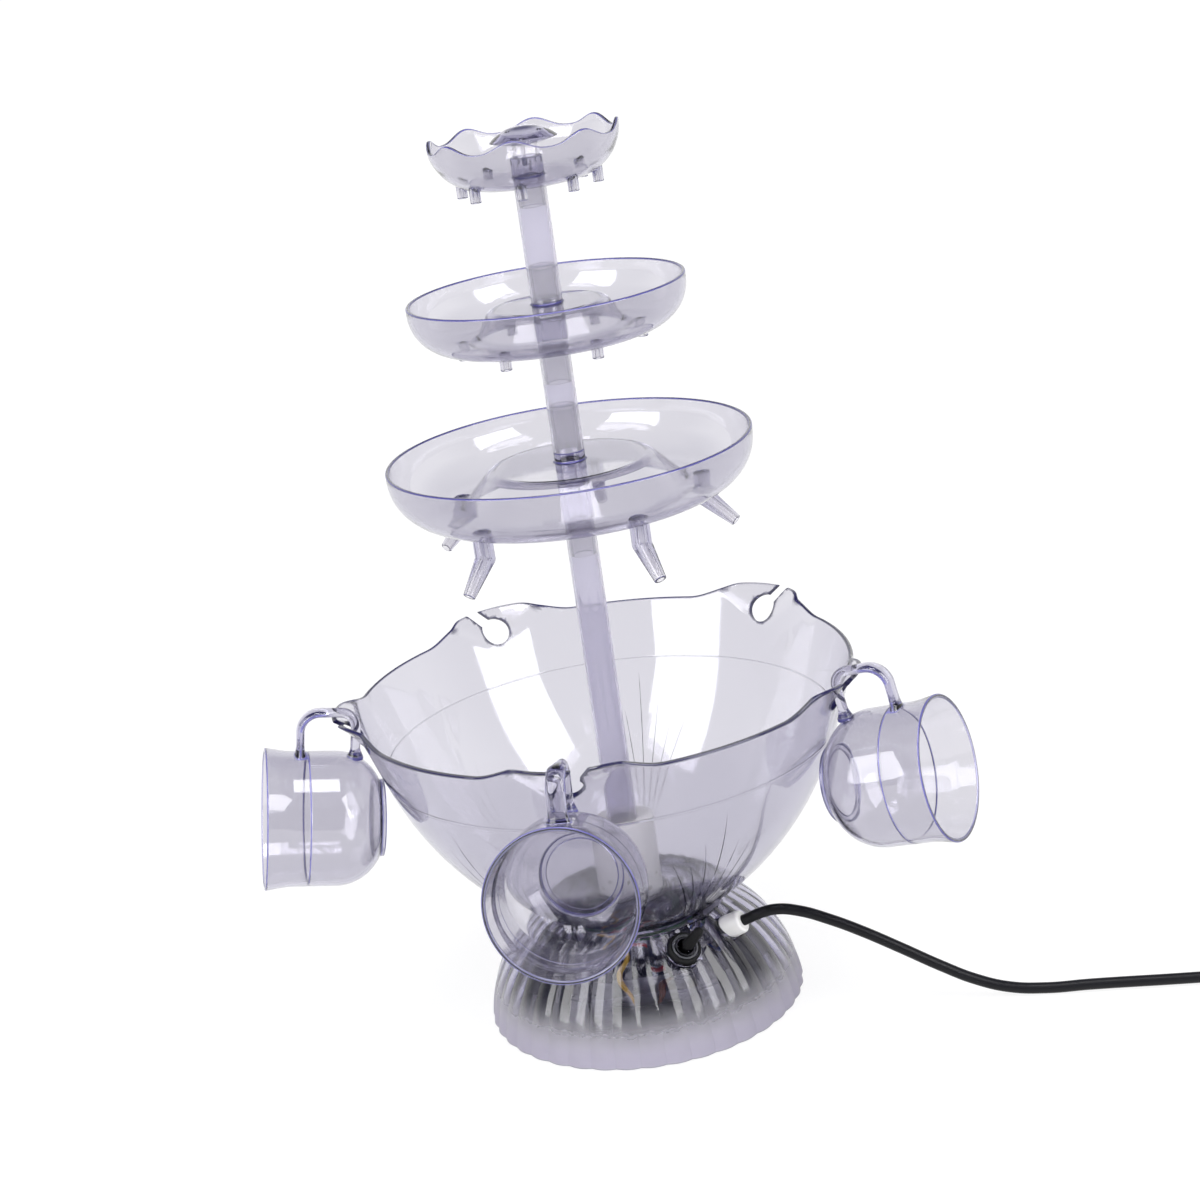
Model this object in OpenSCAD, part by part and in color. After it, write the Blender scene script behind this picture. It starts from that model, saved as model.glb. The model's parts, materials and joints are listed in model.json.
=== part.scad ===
// Tiered drinks fountain: lighted base, notched bowl, pump, three stacked tiers and hanging cups.
// Millimetres. Z is the tower's axis, zero is the table, -Y is the front hook of the bowl.

/* [Base] */
// Outer radius of the base at its bottom edge
base_r = 88.2; // [84:0.2:96]
// Height of the base from its bottom edge to the deck
base_h = 58.8; // [56:0.2:62]
// Radius of the arc that rounds the side of the base
base_arc_r = 81; // [79:0.5:90]
// Height of the arc's centre below the bottom edge
base_arc_drop = 8.5; // [6:0.5:11]
// Wall behind the flutes
base_wall = 2.2; // [1.8:0.1:3]
// Flutes round the base
flute_n = 40; // [30:1:50]
// Depth of the grooves between the flutes
flute_depth = 1.1; // [0.6:0.1:1.5]
// Thickness of the deck under the bowl
deck_t = 2.5; // [2:0.1:3.2]
// Radius of the opening in the deck
deck_hole_r = 40; // [39:0.5:42]
// Thickness of the base plate
plate_t = 2; // [1.5:0.1:3]
// Depth of the plate inside the bottom edge
plate_recess = 0.8; // [0.4:0.1:1.5]
// Radius of a rubber foot
foot_r = 6; // [4:0.5:9]
// Height of a foot below the bottom edge
foot_proud = 1.2; // [0.8:0.1:3]
// Distance of the feet from the axis
foot_at_r = 66; // [60:1:72]
// Radius of the pad under the middle of the base
pad_r = 17; // [14:0.5:24]
// Distance of the screw posts from the axis
post_at_r = 48; // [46:0.5:48]
// Radius of a screw post
post_r = 3.4; // [3:0.1:3.6]
// Radius of the self-tapping screws
screw_r = 1.2; // [1:0.1:1.4]
// Radius of the screw heads
screw_head_r = 2.6; // [2.2:0.1:3]
// Height of the screw heads
screw_head_h = 1.6; // [1.2:0.1:1.8]
// Length of screw in its post
screw_bite = 9; // [6:0.5:12]
// Width of a dark panel behind the shell, as an angle
panel_angle = 38; // [34:1:39]
// Thickness of a dark panel
panel_t = 1.2; // [0.8:0.1:1.6]
// Height of the panels' lower edge above the table
panel_low = 31; // [26:1:36]
// Height of the panels' upper edge above the table
panel_high = 53; // [48:1:54]
// Angle of the right panel's middle from the front
panel_az = 76; // [72:1:80]

/* [Bowl] */
// Radius of the flat under the bowl
bowl_foot_r = 46; // [44:0.5:48]
// Radius of the arc of the bowl's side
bowl_arc_r = 175; // [165:1:185]
// Outer radius where the arc turns into a straight flare
bowl_shoulder_r = 124; // [121:0.5:127]
// Flare of the upper wall from upright, in degrees
bowl_flare = 19; // [17:0.5:21]
// Wall thickness of the bowl
bowl_wall = 2.6; // [2.2:0.1:3]
// Thickness of the bowl's floor
bowl_floor_t = 3; // [2.5:0.1:4]
// Height of the hooks above the bowl's foot
bowl_h = 137; // [135:0.5:138]
// Depth of the dips between the hooks
dip = 7; // [4:0.5:9]
// Half width of a dip at its bottom
dip_low_w = 40; // [34:1:44]
// Half width of a dip at the top of the rim
dip_high_w = 62; // [58:1:64]
// Hooks round the rim
hook_n = 5; // [5:1:5]
// Outer radius of a hook's ear at the rim
ear_reach = 147.5; // [146.5:0.5:148]
// Radius of the arc that flares an ear
ear_arc_r = 74; // [72:1:76]
// Flare of an ear at the rim, in degrees
ear_tip_flare = 48; // [47:0.5:49]
// Distance of an ear's own axis from the tower
ear_axis_r = 103; // [100:1:106]
// Height of an ear
ear_h = 31; // [30:0.5:33]
// Radius of the hole in a hook
notch_r = 8.5; // [7.5:0.25:9]
// Height of the rim over the middle of the hole
notch_drop = 11; // [10:0.25:12]
// Width of the slot into the hole
slot_w = 8; // [7.5:0.25:9]
// Slant of the slot from the ear's fall line, in degrees
slot_slant = 33; // [30:1:36]
// Length of the ring under the bowl that drops into the deck
bowl_ring_h = 6; // [4:0.5:8]
// Wall of that ring
bowl_ring_wall = 2.2; // [1.6:0.1:2.6]
// Depth of the fill line's groove
fill_depth = 0.5; // [0.3:0.1:0.8]
// Height of the fill line above the bowl's foot
fill_h = 97; // [94.5:0.5:104]

/* [Cups] */
// Length of a cup
cup_len = 64; // [60:1:70]
// Outer radius at the mouth
cup_mouth_r = 38.4; // [37.5:0.1:40]
// Outer radius of the barrel
cup_r = 36.4; // [35.5:0.1:37]
// Radius of the arc between barrel and foot
cup_shoulder_r = 26; // [24:0.5:27]
// Length of the flared lip
cup_lip = 12; // [9:0.5:14]
// Wall of a cup
cup_wall = 2.2; // [1.8:0.1:2.6]
// Thickness of a cup's bottom
cup_bottom_t = 2.6; // [2:0.1:3.4]
// Outer radius of the foot ring
cup_foot_r = 21; // [19:0.5:22]
// Wall of the foot ring
cup_foot_wall = 3; // [2:0.25:3.5]
// Height of the foot ring
cup_foot_h = 2; // [1.5:0.25:3]
// Upward tilt of a hanging cup, in degrees
cup_tilt = 11; // [10:0.5:12]
// Clearance of a hanging cup's foot from the bowl
cup_clear = 0.5; // [0.4:0.1:1]
// Height of a hanging cup's foot centre below the hooks' rim
cup_hang = 61; // [60.5:0.1:61.5]
// Distance of the outer leg from the foot
leg_out_at = 45.4; // [44:0.2:49]
// Radius of the round inner leg
leg_r = 2.5; // [2.2:0.1:2.7]
// Clearance of the handle's bar over the rim
bar_clear = 0.7; // [0.5:0.1:1.5]
// Thickness of the bar and the outer leg
bar_t = 4.4; // [4:0.1:4.8]
// Width of the bar and the outer leg
bar_w = 10.5; // [8:0.5:12]
// Bend radius of the bar into the outer leg
bar_bend = 10.4; // [9:0.2:12]
// Bend radius of the bar into the inner leg
leg_bend = 8; // [7:0.25:8.5]
// Radius of the inner leg's root
root_r = 4.4; // [3.8:0.1:4.8]
// Height of the inner leg's root
root_h = 5; // [4:0.5:6]

/* [Tower] */
// Outer radius of the tubes
tube_r = 8.25; // [7.5:0.05:9]
// Wall of the tubes
tube_wall = 1.25; // [1:0.05:1.6]
// Wall of the spigots
spigot_wall = 1.5; // [1.2:0.1:2]
// Length of a spigot below a hub
spigot_down = 16; // [12:1:20]
// Length of the lower tube
lower_tube_len = 181; // [160:1:200]
// Length of the middle tube
middle_tube_len = 53; // [48:1:70]
// Length of the upper tube
upper_tube_len = 61; // [50:1:75]

/* [Large tier] */
// Outer radius of the large tier
large_r = 97; // [94:0.5:100]
// Depth of the large tier
large_depth = 30; // [28:0.5:34]
// Radius of its rounded side
large_corner = 26; // [22:0.5:27]
// Wall of the tiers
tier_wall = 2.2; // [1.8:0.1:2.8]
// Radius of the raised middle
large_top_r = 43; // [40:0.5:45]
// Height of the raised middle
large_top_h = 22; // [18:0.5:25]
// Distance over which the raised middle slopes down
large_run = 19; // [14:0.5:20]
// Height of the large tier's hub
large_hub_h = 41; // [39:0.5:44]
// Length of hub below the large tier
large_hub_low = 14; // [11:0.5:16]
// Length of the spigot above the large tier's hub
large_spigot = 25; // [18:1:28]
// Spouts under the large tier
spout_n = 5; // [5:1:5]
// Distance of the spouts from the axis
spout_at_r = 69; // [68.5:0.25:70.5]
// Radius of a spout's collar
spout_r = 5.2; // [4.8:0.1:5.6]
// Height of a spout's collar
spout_h = 11; // [9:0.5:13]
// Radius of a spout's neck in the tier
spout_neck_r = 3.6; // [3.2:0.1:4]
// Length of a spout's slanted part
spout_len = 22; // [18:0.5:26]
// Radius of a spout at its tip
spout_tip_r = 3.2; // [2.8:0.1:3.8]
// Slant of a spout below level, in degrees
spout_slant = 47; // [40:1:55]
// Radius of the way through a spout
spout_bore_r = 2.1; // [1.6:0.1:2.3]

/* [Middle tier] */
// Outer radius of the middle tier
middle_r = 72.6; // [70:0.2:75]
// Depth of the middle tier
middle_depth = 26; // [24:0.5:29]
// Radius of its rounded side
middle_corner = 22; // [19:0.5:23]
// Radius of its raised middle
middle_top_r = 31; // [28:0.5:33]
// Height of its raised middle
middle_top_h = 18; // [15:0.5:20]
// Distance over which the raised middle slopes down
middle_run = 9; // [7:0.5:11]
// Height of the middle tier's hub
middle_hub_h = 27; // [26.5:0.5:32]
// Length of hub below the middle tier
middle_hub_low = 8; // [5:0.5:8.5]
// Length of the spigot above the middle tier's hub
middle_spigot = 19; // [14:1:22]
// Nozzles under the middle tier
middle_jets = 6; // [5:1:8]
// Distance of the nozzles from the axis
middle_jet_at_r = 46.5; // [45:0.25:47]
// Radius of a nozzle
middle_jet_r = 3; // [2.6:0.1:3.4]
// Length of a nozzle below the tier
middle_jet_len = 6; // [4:0.5:8]
// Radius of the way through the nozzles
jet_bore_r = 1.6; // [1.2:0.1:1.9]

/* [Crown] */
// Outer radius of the crown
crown_r = 49; // [46:0.5:52]
// Height of the crown's peaks
crown_h = 27; // [26:0.5:30]
// Radius of its rounded side
crown_corner = 25; // [23:0.5:26]
// Wall of the crown
crown_wall = 2; // [1.6:0.1:2.4]
// Peaks of the crown's rim
crown_peaks = 8; // [6:1:10]
// Depth of the waves
wave = 5; // [3:0.25:6]
// Half width of a wave at the peaks
wave_w = 16; // [13:0.5:18]
// Distance of the crown's nozzles from the axis
crown_jet_at_r = 35; // [33:0.5:36]
// Radius of a crown nozzle
crown_jet_r = 2.8; // [2.4:0.1:3]
// Height of the nozzles' tips above the crown's underside
crown_jet_low = 2.5; // [-3:0.5:2.5]
// Height of the crown's hub
crown_hub_h = 13; // [11:0.5:14]
// Length of the crown's spigot
crown_spigot = 12; // [9:1:16]
// Width of the slots in that spigot
crown_slot_w = 2; // [1.5:0.25:3]
// Radius of the cap
cap_r = 17.5; // [15:0.5:20]
// Rise of the cap's upper side
cap_rise = 7; // [5:0.5:9]
// Drop of the cap's lower side
cap_drop = 3; // [2:0.5:4]
// Height of the cap's edge above the crown's underside
cap_at = 22; // [21:0.5:24]
// Radius of the cap's posts
cap_post_r = 1; // [0.8:0.1:1.1]
// Depth of the posts in the hub
cap_post_in = 4; // [3:0.5:6]

/* [Pump and drive] */
// Outer radius of the pump cover
pump_r = 17; // [15.5:0.25:17.5]
// Height of the pump cover
pump_h = 46; // [40:1:52]
// Depth of the tube in the pump cover
pump_socket = 12; // [9:0.5:15]
// Radius of the pump's chamber
pump_chamber_r = 13.5; // [12.5:0.25:14]
// Height of the pump's chamber
pump_chamber_h = 20; // [17:1:22]
// Radius of the way from the chamber to the tube
pump_way_r = 6; // [4:0.5:6.5]
// Radius of an inlet hole
inlet_r = 1.8; // [1.4:0.1:2.2]
// Inlet holes in a row
inlet_n = 8; // [6:1:10]
// Height of the lower row of inlets
inlet_z = 7; // [5.5:0.5:8]
// Distance between the rows of inlets
inlet_step = 6; // [5:0.5:7]
// Radius of the drive shaft
shaft_r = 1.6; // [1.4:0.1:1.8]
// Outer radius of the impeller
impeller_r = 10.5; // [9:0.25:11.5]
// Height of the impeller
impeller_h = 9; // [7:0.5:10]
// Radius of the impeller's hub
impeller_hub_r = 4; // [3.4:0.1:4.6]
// Thickness of a blade
blade_t = 1.6; // [1.2:0.1:2]
// Blades of the impeller
blade_n = 6; // [4:1:6]
// Radius of the seal's flange
seal_flange_r = 8.5; // [7.5:0.25:9.5]
// Thickness of the seal's flange
seal_flange_t = 1.4; // [1:0.1:1.6]
// Radius of the seal in the floor
seal_r = 5.6; // [5:0.1:6]
// Radius of the motor
motor_r = 17; // [16:0.25:17.5]
// Height of the motor's can
motor_h = 31.6; // [29:0.2:32]
// Height of the motor's end cap
motor_cap_h = 6; // [4:0.5:6.5]
// Thickness of the motor's bracket
bracket_t = 2.4; // [2:0.1:3]
// Distance of the motor screws from the axis
boss_at_r = 27; // [26:0.25:28]
// Radius of the bosses for the motor screws
boss_r = 3.2; // [3:0.1:3.5]
// Length of those bosses
boss_h = 9.4; // [9:0.2:10.4]

/* [Lights and switch] */
// Outer radius of the light board
board_r = 35; // [33:0.5:36]
// Inner radius of the light board
board_in_r = 21; // [20:0.5:22]
// Thickness of the light board
board_t = 1.6; // [1.2:0.1:2]
// Lamps on the board
lamp_n = 6; // [3:3:6]
// Angle of the first lamp from the front
lamp_az = 30; // [30:5:40]
// Radius of a lamp
lamp_r = 2.5; // [2:0.1:3]
// Height of a lamp's straight part
lamp_h = 3.4; // [2.6:0.2:3.6]
// Length of the transformer's core across
core_w = 54; // [50:1:56]
// Depth of the transformer's core
core_d = 20; // [18:0.5:22]
// Height of the transformer's core
core_h = 24; // [22:0.5:25]
// Width of the core's outer limbs and yokes
core_limb = 6; // [5:0.5:7]
// Width of the core's middle limb
core_mid = 12; // [10:0.5:14]
// Depth of the transformer's coil
coil_d = 32; // [29:0.5:33]
// Distance of the transformer from the axis
core_at_r = 46; // [45:0.5:47]
// Angle of the transformer from the front
core_az = 9; // [7:0.5:10]
// Angle of the switch from the front
switch_az = 31; // [30:0.5:32]
// Height of the switch on the shell
switch_z = 52; // [51:0.5:52.5]
// Elevation of the switch's axis, in degrees
switch_elev = 47; // [46:0.5:48]
// Outer radius of the switch's collar
collar_r = 9; // [8.4:0.1:9.4]
// Height of the switch's collar
collar_h = 3.4; // [2.8:0.1:4]
// Radius of the switch's bushing
bushing_r = 5.6; // [5.2:0.1:5.8]
// Wall of the bushing
bushing_wall = 1.2; // [1:0.1:1.4]
// Length of the bushing above its seat
bushing_up = 4.4; // [4:0.1:4.6]
// Radius of the grey washer
washer_r = 7.2; // [6.9:0.1:7.4]
// Height of the boss that the switch sits on
switch_seat = 1.4; // [1.2:0.1:2]
// Thickness of shell and boss at the switch
seat_t = 6; // [5.8:0.1:6.4]
// Width of the switch's body
switch_w = 12; // [11:0.5:13]
// Length of the switch's body
switch_l = 17; // [15:0.5:18]
// Depth of the switch's body
switch_d = 14; // [12:0.5:15]
// Thickness of the switch's frame
frame_t = 1; // [0.8:0.1:1.2]
// Length of a switch terminal
terminal_h = 4; // [3:0.5:5]
// Radius of a switch terminal
terminal_r = 1; // [0.8:0.1:1.2]
// Throw of the lever to each side, in degrees
throw = 12; // [10:0.5:13]
// Length of the lever from its pivot
lever_len = 20; // [17:0.5:22]
// Radius of the lever's boot at its foot
lever_foot_r = 3.4; // [3:0.1:3.5]
// Radius of the lever's boot at its tip
lever_tip_r = 2.6; // [2.2:0.1:2.8]
// Radius of the lever inside the bushing
lever_r = 2; // [1.6:0.1:2.2]
// Radius of the wires
wire_r = 0.9; // [0.7:0.05:1]

/* [Cord] */
// Radius of the power cord
cord_r = 3; // [2.8:0.05:3.1]
// Angle of the cord bush from the front
bush_az = 64; // [63:0.5:65]
// Height of the cord bush on the shell
bush_z = 52; // [51.5:0.5:52.5]
// Outer radius of the bush at its seat
bush_r = 6.6; // [6.2:0.1:6.8]
// Outer radius of the bush at its tip
bush_tip_r = 5.2; // [4.8:0.1:5.6]
// Length of the bush past its collar
bush_out = 7; // [6.5:0.5:8]
// Length of the bush inside the shell
bush_in = 10; // [9:0.5:11]
// Radius of the bush behind the shell
bush_neck_r = 5; // [4.6:0.1:5.2]
// Radius of the bush's collar in the shell's hole
bush_collar_r = 7.2; // [7:0.1:7.6]
// Straight start of the cord past the bush's collar
cord_straight = 14; // [13:0.5:15]
// Turns of the coiled rest of the cord
coil_turns = 5.25; // [5.25:1:6.25]
// Radius of the coil's outermost turn
coil_r = 42; // [41.5:0.25:46]
// Distance from turn to turn
coil_pitch = 6.6; // [6.6:0.05:6.8]
// Thickness of the tie round the coil
tie_t = 1; // [0.8:0.1:1.2]
// Width of the tie
tie_w = 8; // [6:0.5:10]
// Length of the plug's body
plug_len = 34; // [30:0.5:40]
// Width of the plug's body
plug_w = 26; // [25:0.5:28]
// Narrow width of the plug's body
plug_neck_w = 14; // [13:0.5:16]
// Length of the plug's strain relief
plug_sleeve = 22; // [20:0.5:26]
// Radius of a plug pin
pin_r = 2; // [1.8:0.1:2.2]
// Distance between the plug's pins
pin_gap = 18.6; // [17:0.2:19]
// Length of a plug pin
pin_len = 19; // [17:0.5:20]

/* [Hidden] */
$fn = 96;
// Overrun of cutting shapes past the faces that they cut
cut = 1;
// Clearance between curved faces of separate pieces
gap = 0.3;
// Clearance of push fits
slip = 0.25;
// Running clearance of the drive shaft
run = 0.05;
// Depth of faces sunk into one another in one piece
lap = 0.4;
// Small circles
few = 32;

base_z = foot_proud;
deck_z = base_z + base_h;
dome_c = [base_r - sqrt(base_arc_r * base_arc_r - base_arc_drop * base_arc_drop), base_z - base_arc_drop];
dome_in_r = base_arc_r - flute_depth - base_wall;
function arc_r(c, rad, z) = c[0] + sqrt(rad * rad - (z - c[1]) * (z - c[1]));
function dome_r(z) = arc_r(dome_c, base_arc_r, z);
plate_z = base_z + plate_recess;
plate_top = plate_z + plate_t;
post_az = core_az + 45;

bowl_z = deck_z;
floor_z = bowl_z + bowl_floor_t;
rim_z = bowl_z + bowl_h;
bowl_cx = bowl_shoulder_r - bowl_arc_r * cos(bowl_flare);
bowl_foot_a = acos((bowl_foot_r - bowl_cx) / bowl_arc_r);
bowl_c = [bowl_cx, bowl_z + bowl_arc_r * sin(bowl_foot_a)];
shoulder_z = bowl_c[1] - bowl_arc_r * sin(bowl_flare);
ear_c = [ear_reach + ear_arc_r * cos(ear_tip_flare), rim_z - ear_arc_r * sin(ear_tip_flare)];
ear_mid_r = ear_arc_r + bowl_wall / 2;
notch_z = rim_z - notch_drop;
notch_tilt = asin((notch_z - ear_c[1]) / ear_mid_r);
notch_at = [ear_c[0] - ear_mid_r * cos(notch_tilt), 0, notch_z];
slot_len = 3 * notch_r;
hook_az = 360 / hook_n;
ring_r = deck_hole_r - gap;

tube_in_r = tube_r - tube_wall;
spigot_r = tube_in_r - slip;
spigot_in_r = spigot_r - spigot_wall;
pump_z = floor_z;
tube1_z = pump_z + pump_h - pump_socket;
hub1_z = tube1_z + lower_tube_len;
tube2_z = hub1_z + large_hub_h;
hub2_z = tube2_z + middle_tube_len;
tube3_z = hub2_z + middle_hub_h;
crown_z = tube3_z + upper_tube_len;
large_z = hub1_z + large_hub_low;
middle_z = hub2_z + middle_hub_low;

board_z = bowl_z - boss_h - board_t;
bracket_z = board_z - bracket_t;
can_z = bracket_z - motor_h;
impeller_z = floor_z + seal_flange_t + run + tie_t;
shaft_in = 4;

// A seat that leans from the dome's own slope stands higher by its lift
dome_elev = atan2(switch_z - dome_c[1], dome_r(switch_z) - dome_c[0]);
seat_lift = (collar_r + cut) * tan(abs(dome_elev - switch_elev));
seat_up = switch_seat + seat_lift;
seat_depth = seat_t + 2 * seat_lift;
bush_dir_az = 80;
bush_elev = 25;
bush_seat = 4;

coil_z = cord_r + tie_t + gap;
coil_x = 380;
coil_y = 14;
coil_turn_in = coil_turns / 2;
coil_climb = 0.25;
plug_z = coil_z + coil_pitch;

// Directions: outward(az) turns X to a bearing from the front, Y then runs to greater bearings
module outward(az) rotate([0, 0, az - 90]) children();
module around(n, from) for (i = [0 : n - 1]) outward(from + i * 360 / n) children();
// Aim Z along a bearing and elevation from a point on the dome
module aim(az, z, to_az, elev)
    outward(az)
        translate([dome_r(z), 0, z])
            rotate([0, 0, to_az - az])
                rotate([0, 90 - elev, 0])
                    children();
module at_switch() aim(switch_az, switch_z, switch_az, switch_elev) translate([0, 0, seat_up]) children();
module at_bush() aim(bush_az, bush_z, bush_dir_az, bush_elev) translate([0, 0, bush_seat]) children();
module rod(r, from, to) translate([0, 0, from]) cylinder(r = r, h = to - from);
module pipe(r, r_in, from, to) difference() {
    rod(r, from, to);
    rod(r_in, from - cut, to + cut);
}
function polar(az, r, z) = [r * sin(az), -r * cos(az), z];

// Tubes swept along points
function unit(v) = v / norm(v);
function tangent(p, i) = unit(p[min(i + 1, len(p) - 1)] - p[max(i - 1, 0)]);
function ring(p, i, r, n, ref) =
    let (t = tangent(p, i), a = unit(cross(t, ref)), b = cross(t, a))
    [for (k = [0 : n - 1]) p[i] + r * (a * cos(360 * k / n) + b * sin(360 * k / n))];
function curve(a, b, c, d, t) =
    (2 * b + (c - a) * t + (2 * a - 5 * b + 4 * c - d) * t * t + (3 * b - a - 3 * c + d) * t * t * t) / 2;
function smooth(p, steps) = concat([for (i = [0 : len(p) - 2], j = [0 : steps - 1])
    curve(p[max(i - 1, 0)], p[i], p[i + 1], p[min(i + 2, len(p) - 1)], j / steps)], [p[len(p) - 1]]);
module swept(p, r, n, ref) {
    m = len(p);
    points = [for (i = [0 : m - 1], q = ring(p, i, r, n, ref)) q];
    sides = [for (i = [0 : m - 2], k = [0 : n - 1], h = [0, 1])
        h == 0 ? [i * n + k, (i + 1) * n + k, (i + 1) * n + (k + 1) % n]
               : [i * n + k, (i + 1) * n + (k + 1) % n, i * n + (k + 1) % n]];
    ends = [[for (k = [0 : n - 1]) k], [for (k = [n - 1 : -1 : 0]) (m - 1) * n + k]];
    polyhedron(points, concat(sides, ends), convexity = 8);
}

// Base: fluted dome
flute_steps = 4;
flute_rows = 9;
function flute_r(z, k) = dome_r(z) - flute_depth * (1 - abs(cos(180 * k / flute_steps)));
module fluted_dome() {
    n = flute_n * flute_steps;
    points = [for (j = [0 : flute_rows], k = [0 : n - 1])
        let (z = base_z + base_h * j / flute_rows)
        polar(360 * k / n, flute_r(z, k), z)];
    sides = [for (j = [0 : flute_rows - 1], k = [0 : n - 1], h = [0, 1])
        let (a = j * n + k, b = j * n + (k + 1) % n)
        h == 0 ? [a, a + n, b + n] : [a, b + n, b]];
    ends = [[for (k = [0 : n - 1]) k], [for (k = [n - 1 : -1 : 0]) flute_rows * n + k]];
    polyhedron(points, concat(sides, ends), convexity = 4);
}
module dome_cavity()
    rotate_extrude($fn = 240)
        intersection() {
            translate(dome_c) circle(dome_in_r, $fn = 240);
            translate([0, base_z - cut]) square([base_r, base_h + cut - deck_t]);
        }
module base_shell() color("Lavender", 0.4)
    difference() {
        union() {
            difference() {
                fluted_dome();
                dome_cavity();
                rod(deck_hole_r, base_z, deck_z + cut);
                at_bush() rod(bush_collar_r + gap, -bush_seat - bush_in, bush_out);
            }
            around(4, post_az) translate([post_at_r, 0, 0])
                rod(post_r, plate_top, deck_z - deck_t + lap, $fn = few);
            at_switch() rod(collar_r + cut, -seat_depth, 0);
        }
        around(4, post_az) translate([post_at_r, 0, 0])
            rod(screw_r + gap, plate_top - cut, plate_top + screw_bite + cut, $fn = few);
        at_switch() rod(bushing_r + gap, -seat_depth - cut, cut);
    }
module base_plate() color("Gainsboro")
    difference() {
        rod(arc_r(dome_c, dome_in_r, plate_top) - gap, plate_z, plate_top);
        around(4, post_az) translate([post_at_r, 0, 0])
            rod(screw_r + gap, plate_z - cut, plate_top + cut, $fn = few);
    }
module rubber_feet() color("DimGray") {
    around(4, post_az) translate([foot_at_r, 0, 0]) rod(foot_r, 0, plate_z);
    rod(pad_r, 0, plate_z);
}
module plate_screws() color("Silver")
    around(4, post_az) translate([post_at_r, 0, 0]) {
        rod(screw_r, plate_z - lap, plate_top + screw_bite, $fn = few);
        rod(screw_head_r, plate_z - screw_head_h, plate_z, $fn = few);
    }
module panel(az)
    rotate([0, 0, az - 90 - panel_angle / 2])
        rotate_extrude(angle = panel_angle)
            intersection() {
                translate(dome_c) difference() {
                    circle(dome_in_r - gap);
                    circle(dome_in_r - gap - panel_t);
                }
                translate([dome_c[0], panel_low]) square([base_r, panel_high - panel_low]);
            }
module dark_panels() color("Black")
    difference() {
        for (i = [0 : 2]) panel(panel_az + i * 120);
        at_bush() rod(bush_collar_r + gap, -bush_seat - seat_t - bush_in, cut);
    }

// Bowl
module bowl_section(inset, low)
    intersection() {
        union() {
            intersection() {
                translate(bowl_c) circle(bowl_arc_r - inset, $fn = 360);
                square([bowl_arc_r, shoulder_z + inset * sin(bowl_flare)]);
            }
            polygon([
                [0, shoulder_z + inset * sin(bowl_flare)],
                [bowl_shoulder_r - inset * cos(bowl_flare), shoulder_z + inset * sin(bowl_flare)],
                [bowl_shoulder_r - inset / cos(bowl_flare) + (rim_z + cut - shoulder_z) * tan(bowl_flare),
                    rim_z + cut],
                [0, rim_z + cut]]);
        }
        translate([0, low]) square([bowl_arc_r, rim_z + inset - low]);
    }
module ear_section(inset)
    difference() {
        translate([0, rim_z - ear_h]) square([ear_reach - ear_axis_r + cut, ear_h + inset]);
        translate(ear_c - [ear_axis_r, 0]) circle(ear_arc_r + inset, $fn = 180);
    }
module dips()
    around(hook_n, hook_az / 2)
        translate([ear_axis_r / 2, 0, rim_z])
            rotate([90, 0, 90])
                linear_extrude(ear_reach)
                    polygon([[-dip_low_w, -dip], [dip_low_w, -dip], [dip_high_w, 0], [dip_high_w, ear_h],
                        [-dip_high_w, ear_h], [-dip_high_w, 0]]);
module notch(side)
    translate(notch_at)
        rotate([0, 90 + notch_tilt, 0]) {
            rod(notch_r, -notch_r, notch_r);
            rotate([0, 0, -side * slot_slant])
                translate([-slot_len, -slot_w / 2, -notch_r])
                    cube([slot_len, slot_w, 2 * notch_r]);
        }
module bowl() color("Lavender", 0.4)
    difference() {
        union() {
            difference() {
                union() {
                    rotate_extrude($fn = 180) bowl_section(0, bowl_z);
                    around(hook_n, 0) translate([ear_axis_r, 0, 0]) rotate_extrude() ear_section(0);
                }
                rotate_extrude($fn = 180) bowl_section(bowl_wall, floor_z);
                around(hook_n, 0) translate([ear_axis_r, 0, 0]) rotate_extrude() ear_section(bowl_wall);
            }
            pipe(ring_r, ring_r - bowl_ring_wall, bowl_z - bowl_ring_h, bowl_z + lap);
            around(3, 0) translate([boss_at_r, 0, 0]) rod(boss_r, bowl_z - boss_h, bowl_z + lap, $fn = few);
            pipe(pump_r + gap + bowl_ring_wall, pump_r + gap, floor_z - lap, floor_z + bowl_floor_t);
        }
        dips();
        outward(0) notch(1);
        outward(-hook_az) notch(1);
        outward(hook_az) notch(-1);
        outward(-2 * hook_az) notch(1);
        outward(2 * hook_az) notch(-1);
        rod(seal_r + slip, bowl_z - cut, floor_z + cut);
        around(3, 0) translate([boss_at_r, 0, 0])
            rod(screw_r + slip, bowl_z - boss_h - cut, bowl_z - cut, $fn = few);
        rotate_extrude($fn = 180)
            translate([bowl_shoulder_r + (bowl_z + fill_h - shoulder_z) * tan(bowl_flare), bowl_z + fill_h])
                circle(fill_depth, $fn = few);
    }
module shaft_seal() color("DimGray")
    difference() {
        union() {
            rod(seal_r, bowl_z - seal_flange_t, floor_z + lap);
            rod(seal_flange_r, floor_z, floor_z + seal_flange_t);
        }
        rod(shaft_r + run, bowl_z - seal_flange_t - cut, floor_z + seal_flange_t + cut);
    }

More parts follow.
